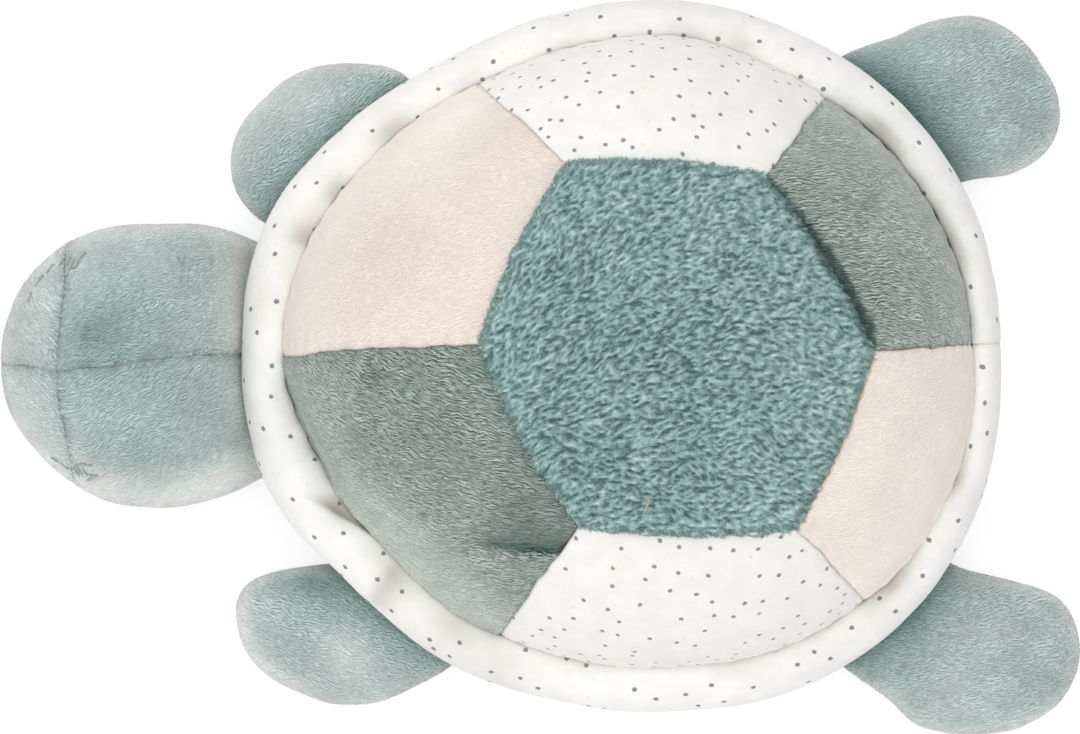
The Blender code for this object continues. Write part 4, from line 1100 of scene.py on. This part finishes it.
def on_head(places, side):
    """Points of the head over level places for side 1, or under them for side -1."""
    swollen = 0.5 * (smooth((places[..., 0] - NECK_END) / (NECK_FULL - NECK_END))
                     + smooth((places[..., 0] - CROWN_START) / (CROWN_FULL - CROWN_START)))
    offset = places - head_middle()
    full = np.linalg.norm(offset, axis=-1) / (HEAD_REACH * share_at(HEAD_SHARES, angle_of(offset)))
    rise = NECK_RISE + (HEAD_RISE - NECK_RISE) * swollen
    depth = NECK_DEPTH + (NECK_LEVEL + HEAD_SEAM_RISE - FLOOR_GAP - NECK_DEPTH) * swollen
    height = np.where(side > 0, rise, -depth) * roundness(np.minimum(full, 1), STUFFED_POWER)
    return joined(places, HEAD_SEAM_RISE * swollen + height)


def head_panel(number, looks, to_world):
    """One of the four upper panels, which meet on the crown. Its face is returned."""
    panel = HEAD_PANELS[number]
    end = HEAD_PANELS[(number + 1) % 4].start + (360 if number == 3 else 0)
    a, s = (np.linspace(0, 1, count) for count in HEAD_GRID)
    s = 0.004 + 0.996 * (1 - (1 - s) ** 1.8)
    meeting = head_middle() + CROWN_SEAMS
    out = head_edge(panel.start + (end - panel.start) * a) - CROWN_SEAMS
    places = meeting + out[:, None] * s[None, :, None]
    places = places + sway(places, 0.9, 9, (105, 106)) * np.sin(np.pi * s.clip(0, 1))[None, :, None]
    grid = on_head(places, 1)
    normal, left, right, top, low = strip(grid)
    beside = np.minimum(left, right)
    holding = (0.6 + 0.7 * noise(grid, 4.5, 107)).clip(0.2, 1)
    rows = panel.gathers * ripples(grid, top, 0.95, 3.4, 4, 100 + number)
    near_seam = bell(beside, 2.4) * smooth(top / (2 * MM))
    neck = smooth((16 * MM - grid[..., 0]) / (16 * MM))
    lift = 0.25 * MM + HEAD_PUFF * pillow(a, s) - 0.6 * MM * (holding * tuck(beside, 3) + tuck(low, 2))
    lift += 0.32 * MM * rows * near_seam + 0.25 * MM * ripples(grid, grid[..., 1], 3.4, 2, 9, 110) * neck
    lift += lumps(grid, 0.35, 15, 120) + lumps(grid, 0.15, 6, 121)
    grid = grid + normal * lift[..., None]

    ahead = grid[..., 0]
    # Painted shade along the seams, where the pile parts, broken in knots and stronger towards the neck, and round the
    # edge
    middle_line = left if panel.name in MIDDLE_SEAM_FIRST else right
    knotted = (0.45 + 0.6 * rows).clip(0.1, 1)
    wandering = (0.55 + 0.5 * noise(grid, 1.6, 108)) * (1 + 0.6 * smooth((36 * MM - ahead) / (20 * MM)))
    seam = holding * np.maximum(0.5 * bell(beside, 0.6 * wandering), bell(middle_line, wandering))
    seam *= (0.4 + 0.6 * knotted) * (1 + 0.8 * smooth((26 * MM - ahead) / (12 * MM)))
    seam = np.maximum(seam, 0.2 * bell(low, 0.5))
    world = to_world(stretched_root(grid, NECK_ROOT, 2 * MM))
    inwards = (1 - s)[None] * np.linalg.norm(out, axis=-1)[:, None]
    # Tone: painted light towards the outline and down the cheek, at the neck and behind the crown, painted highlights
    # on the
    # tufts by the seams, painted shade beside the seams, and painted patches
    spread = panel.cheek * smooth(0.5 - world[..., 1] / (30 * MM))
    tone = (0.6 + 0.5 * spread) * smooth(1 - inwards / ((6 + 10 * spread) * MM))
    tone += panel.tone + panel.neck * smooth((22 * MM - ahead) / (10 * MM))
    tone += 0.24 * rows * near_seam - 0.22 * bell(beside, 2.2) + panel.band * bell(world[..., 0] + 73.5 * MM, 2)
    tone += on_picture(world, HEAD_SHADES)
    uv = turned(round_uv(grid * np.array([1, 1, 0.45]), angle_of(out)), panel.nap)
    sew("head_%s_cloth" % panel.name, "head_%s_panel" % panel.name, world, uv, seam, tone, looks, MINKY_THICK)
    edge_pile("head_%s_edge_pile" % panel.name, world, uv, tone, looks,
              [("left", 900, 3.5), ("right", 900, 3.5), ("low", 700, 5)], 0.75, 310 + number,
              allowed=ahead > 13.5 * MM)
    return world


def chin(looks, to_world):
    """The head's one lower panel."""
    wide, high = CHIN_GRID
    angles = -np.arange(wide) * 360 / wide
    s = 1 - (1 - np.linspace(0, 1, high)) ** 1.7
    grid, normal, low = whole_round(on_head(head_middle() + head_edge(angles)[:, None] * s[None, :, None], -1))
    lift = lumps(grid, 0.2, 14, 130) - 0.6 * MM * tuck(low, 2)
    lift += 0.25 * MM * smooth((low - 1 * MM) / (6 * MM)) * smooth(grid[..., 2] / (-8 * MM) + 1.2)
    grid = grid + normal * lift[..., None]
    world = to_world(stretched_root(grid, NECK_ROOT, 2 * MM))
    world[..., 2] = np.maximum(world[..., 2], 0.1 * MM)
    # Painted shade along the chin's seam, and a little painted light all over
    seam = 0.5 * bell(low, 0.7)
    sew("head_chin_cloth", "head_chin_panel", world, round_uv(grid, angles), seam, seam * 0 + 0.05, looks,
        MINKY_THICK, whole=True)


def head(material):
    """The head's panels. The faces of the upper ones are returned."""
    to_world, blend = limb("head_nod", 180, -8, 9)
    looks = Looks(material, "head", "teal_minky", blend)
    surfaces = [head_panel(number, looks, to_world) for number in range(4)]
    chin(looks, to_world)
    return surfaces


def flipper(number, material):
    """A flipper's upper and lower panels."""
    shape = FLIPPERS[number]
    name, front_left = shape.name + "_flipper", shape.name == "front_left"
    to_world, blend = limb(shape.name + "_flap", shape.heading, -7, 7)
    looks = Looks(material, name, "teal_minky", blend)
    reach = shape.reach * MM
    middle = np.array((reach * share_at(shape.shares, 180) - FLIPPER_ROOT, shape.across * MM))
    wide, high = FLIPPER_GRID
    s = 1 - (1 - np.linspace(0, 1, high)) ** 1.8
    for label, side in (("upper", 1), ("lower", -1)):
        angles = side * np.arange(wide) * 360 / wide
        out = toward(angles) * (reach * share_at(shape.shares, angles))[:, None]
        heights = side * FLIPPER_HALF_DEPTH * roundness(s, STUFFED_POWER)
        grid, normal, low = whole_round(joined(middle + out[:, None] * s[None, :, None], heights[None]))
        folds = ripples(grid, grid[..., 1], 3.2, 2.2, 8, 160 + number) * smooth((12 * MM - grid[..., 0]) / (12 * MM))
        lift = 0.35 * MM * (1 + folds) - 0.55 * MM * tuck(low, 1.4)
        lift += lumps(grid, 0.4, 15, 140 + number) + lumps(grid, 0.15, 6, 150 + number)
        if side < 0:
            lift = np.minimum(lift, 0.3 * MM)
        grid = grid + normal * lift[..., None]
        world = to_world(stretched_root(grid, FLIPPER_ROOT, 3.2 * MM))
        world[..., 2] = np.maximum(world[..., 2], 0.1 * MM)

        away = world[..., :2] - SHELL_PLACE
        beyond = np.linalg.norm(away, axis=-1) - rim_radius(angle_of(away))  # the rim
        inwards = (1 - s)[None] * np.linalg.norm(out, axis=-1)[:, None]
        # Tone: painted shade under the rim and at its edge, painted light round the outline, most along the front
        # left's bottom,
        # random tone, and painted patches
        bottom = smooth(0.5 - grid[..., 1] / (20 * MM)) if front_left else 0.4
        tone = shape.tone - shape.shade * bell(beyond.clip(0), 7.5) - 0.35 * bell(beyond.clip(0), 1.6)
        tone += (0.25 + 0.5 * bottom) * smooth(1 - inwards / ((2.5 + 3 * bottom) * MM)) * smooth(beyond / (4 * MM))
        tone += 0.16 * noise(world, 11, 170) + on_picture(world, FLIPPER_SHADES.get(shape.name, ()))
        uv = turned(round_uv(grid, angles), shape.nap - shape.heading)
        # The seam values are painted shade along the flipper's edge
        sew("%s_%s_cloth" % (name, label), "%s_%s_panel" % (name, label), world, uv, 0.35 * bell(low, 0.5), tone,
            looks, MINKY_THICK, whole=True)
        if side > 0:
            edge_pile(name + "_edge_pile", world, uv, tone, looks, [("low", 1400, 5)], 0.7, 320 + number, whole=True,
                      allowed=beyond > 1.5 * MM)


# ---------------------------------------------------------------- threads and filling

def satin_stitches(first, last, length, seated):
    """Satin stitches across an arc of an eye, each with its thread's radius."""
    way = last - first
    ahead = unit(way)
    side = np.array([-ahead[1], ahead[0]])
    count = int(np.linalg.norm(way) / 0.75)
    for k in range(count):
        at = (k + 0.5) / count
        uneven = math.sin(k * 12.9 + first[0])
        half = length * math.sin(math.pi * (0.15 + 0.7 * at)) * (1 + 0.3 * uneven)
        spot = first + way * at + np.array([0.3 * uneven, 0.4 * math.cos(k * 7.3)])
        high = (0.2 + 0.12 * uneven) * MM
        rises = (-0.15 * MM, high * 0.7, high, high * 0.7, -0.15 * MM)
        yield ([seated(*(spot + side * half * t + ahead * 0.8 * t), rise)
                for t, rise in zip((-1, -0.5, 0, 0.5, 1), rises)], (0.14 + 0.03 * uneven) * MM)


def lash_thread(curve, shift, seated):
    """One loose thread of a lash, twisted round its curve."""
    start, middle, end = np.array(curve, float)
    line = []
    for t in np.linspace(0, 1, 7):
        px, py = start * (1 - t) ** 2 + 2 * middle * t * (1 - t) + end * t * t
        over = (0.32 * math.sin(math.pi * t) - 0.02) * MM
        line.append(seated(px + shift * math.cos(t * 5), py + shift * math.sin(t * 5), over))
    return line


def eyes(surfaces, material):
    """Closed eyes in satin stitch, with lashes of loose threads."""
    points = np.stack(surfaces)
    index = np.arange(points[..., 0].size).reshape(points.shape[:-1])
    quads = np.stack([index[:, :-1, :-1], index[:, :-1, 1:], index[:, 1:, 1:], index[:, 1:, :-1]], axis=-1)
    skin = BVHTree.FromPolygons(points.reshape(-1, 3).tolist(), quads.reshape(-1, 4).tolist())

    def seated(px, py, over):
        """The place this far over the cloth at a pixel of the photograph."""
        x, y = picture_place(px, py)
        hit, normal = skin.ray_cast(Vector((x, y, 0.2)), Vector((0, 0, -1)))[:2]
        if hit is None:
            hit, normal = skin.find_nearest(Vector((x, y, 0.025)))[:2]
        return np.array(hit + normal * over)

    for label, length, arcs, lashes in EYES:
        threads = [stitch for arc in arcs for stitch in satin_stitches(*np.array(arc, float), length, seated)]
        threads += [(lash_thread(lash, shift, seated), 0.16 * MM) for lash in lashes for shift in (-0.55, 0.55)]
        add_piece("closed_eye_" + label, tube_mesh("closed_eye_" + label, *zip(*threads)),
                  Looks(material, "head", "grey_thread"), "eye_stitches_" + label)


def fillings():
    """The stuffing inside each form, from its own solid drawn in a little from its skin."""
    material = wadding()
    for body in ("shell", "head", *(shape.name + "_flipper" for shape in FLIPPERS)):
        mesh = frame["nodes"][body + "_stuffing"].data.copy()
        mesh.materials.clear()
        points = np.zeros(len(mesh.vertices) * 3, np.float32)
        mesh.vertices.foreach_get("co", points)
        points = points.reshape(-1, 3).astype(float)
        middle, half = points.mean(axis=0), np.ptp(points, axis=0) / 2
        points = middle + (points - middle) * (1 - 1.8 * MM / half)
        mesh.vertices.foreach_set("co", points.astype(np.float32).ravel())
        mesh.update()
        add_piece(body + "_filling", mesh, Looks(material, body, "white_stuffing"), body + "_stuffing")


def seam_threads(material):
    """The pale piped edge that shows along the top panel's rear left seam, and one loose thread in the pile."""
    lines = []
    for start, end, wobble in ((0.02, 0.98, 0.25), (0.25, 0.99, -0.3)):
        t = np.linspace(start, end, 90)
        edge = hexagon_point(5, t)
        wave = (1.15 + wobble * np.sin(t * 55 + wobble * 9)) * MM
        line = on_dome(edge + unit(edge - HEXAGON_MIDDLE) * wave[:, None])
        line[:, 2] += (0.35 + 0.12 * np.sin(t * 75)) * MM
        lines.append(shell_world(line))
    add_piece("shell_seam_thread", tube_mesh("shell_seam_thread", lines, [0.28 * MM, 0.22 * MM]),
              Looks(material, "shell", "blush_minky"))
    t = np.linspace(0, 1, 9)
    first, last = (picture_place(*spot) for spot in LOOSE_THREAD)
    places = first + (last - first) * t[:, None] - SHELL_PLACE
    places[:, 0] += 0.25 * MM * np.sin(t * 5)
    loose = shell_world(on_dome(places))
    loose[:, 2] += (3.4 + 0.6 * np.sin(np.pi * t)) * MM
    add_piece("shell_loose_thread", tube_mesh("shell_loose_thread", [loose], [0.24 * MM]),
              Looks(thread("pink_thread", (214, 184, 172), (176, 146, 136)), "shell", "blush_minky"))


# ---------------------------------------------------------------- the studio

def floor_material():
    """White, and bright to the camera, so that the floor is even like the photograph's ground."""
    n = Nodes("white_floor")
    rays = n.node("ShaderNodeLightPath").outputs
    seen = n.math("MAXIMUM", n.math("MAXIMUM", rays["Is Camera Ray"], rays["Is Glossy Ray"]),
                  rays["Is Transmission Ray"])
    for key, value in (("Base Color", n.mix(rays["Is Camera Ray"], (0.86, 0.86, 0.86, 1), (0.4, 0.4, 0.4, 1))),
                       ("Roughness", 1.0), ("Specular IOR Level", 0.0)):
        n.put(n.shader.inputs[key], value)
    glow = n.node("ShaderNodeEmission", {"Strength": n.math("MULTIPLY", seen, 0.72)})
    both = n.node("ShaderNodeAddShader", {0: n.shader.outputs[0], 1: glow.outputs[0]})
    n.put(n.tree.nodes["Material Output"].inputs["Surface"], both.outputs[0])
    return n.material


def studio():
    """A white floor, four soft lamps, an even sky and a camera straight above."""
    scene = bpy.context.scene
    scene.view_settings.view_transform = "Standard"
    world = bpy.data.worlds.new("studio")
    scene.world = world
    world.use_nodes = True
    sky = world.node_tree.nodes["Background"]
    sky.inputs["Color"].default_value = (1, 1, 1, 1)
    sky.inputs["Strength"].default_value = 0.62

    mesh = bpy.data.meshes.new("floor")
    half = 6.0
    mesh.from_pydata([(-half, -half, 0), (half, -half, 0), (half, half, 0), (-half, half, 0)], [], [(0, 1, 2, 3)])
    mesh.materials.append(floor_material())
    floor = bpy.data.objects.new("floor", mesh)
    floor.location.z = -0.3 * MM
    scene.collection.objects.link(floor)

    for name, place, size, power in LAMPS:
        lamp = bpy.data.lights.new(name, "AREA")
        lamp.shape, lamp.size, lamp.energy = "DISK", size, power
        holder = bpy.data.objects.new(name, lamp)
        holder.location = place
        holder.rotation_mode = "QUATERNION"
        holder.rotation_quaternion = (Vector((0, 0, 0.03)) - Vector(place)).to_track_quat("-Z", "Y")
        scene.collection.objects.link(holder)

    lens = bpy.data.cameras.new("camera")
    lens.lens, lens.sensor_width = 600, 36
    lens.clip_start, lens.clip_end = 0.1, 40
    camera = bpy.data.objects.new("camera", lens)
    level = 0.040  # of the turtle's outline, where the picture's width fits the sensor's
    camera.location = (0, -0.5 * PIXEL, level + PICTURE_WIDTH * PIXEL * lens.lens / lens.sensor_width)
    scene.collection.objects.link(camera)
    scene.camera = camera


def main():
    teal = minky("teal_minky_pile", TEAL, 0.9, 1.5, 0.06, 0.8, (620, 2800))
    cloths = {"sage_minky": minky("sage_minky_pile", SAGE, 0.7, 3.0, 0.06, 1.0, (430, 2300)),
              "blush_minky": minky("blush_minky_pile", BLUSH, 0.2, 0.5, 0.012, 0.5, (640, 2700)),
              "dotted_cotton": dotted_cotton("dotted_cotton_panels", PANEL_DOTS)}
    cotton = dotted_cotton("dotted_cotton_band", BAND_DOTS)
    top_panel(fleece_ground())
    pile(fleece_pile())
    for number, panel in enumerate(SHELL_PANELS):
        side_panel(number, cloths[panel.cloth])
    rim_band(cotton)
    belly(cotton)
    surfaces = head(teal)
    for number in range(len(FLIPPERS)):
        flipper(number, teal)
    eyes(surfaces, thread("grey_embroidery", (184, 193, 190), (132, 144, 141)))
    fillings()
    seam_threads(thread("cream_thread", (236, 222, 200), (206, 188, 162)))
    studio()


main()
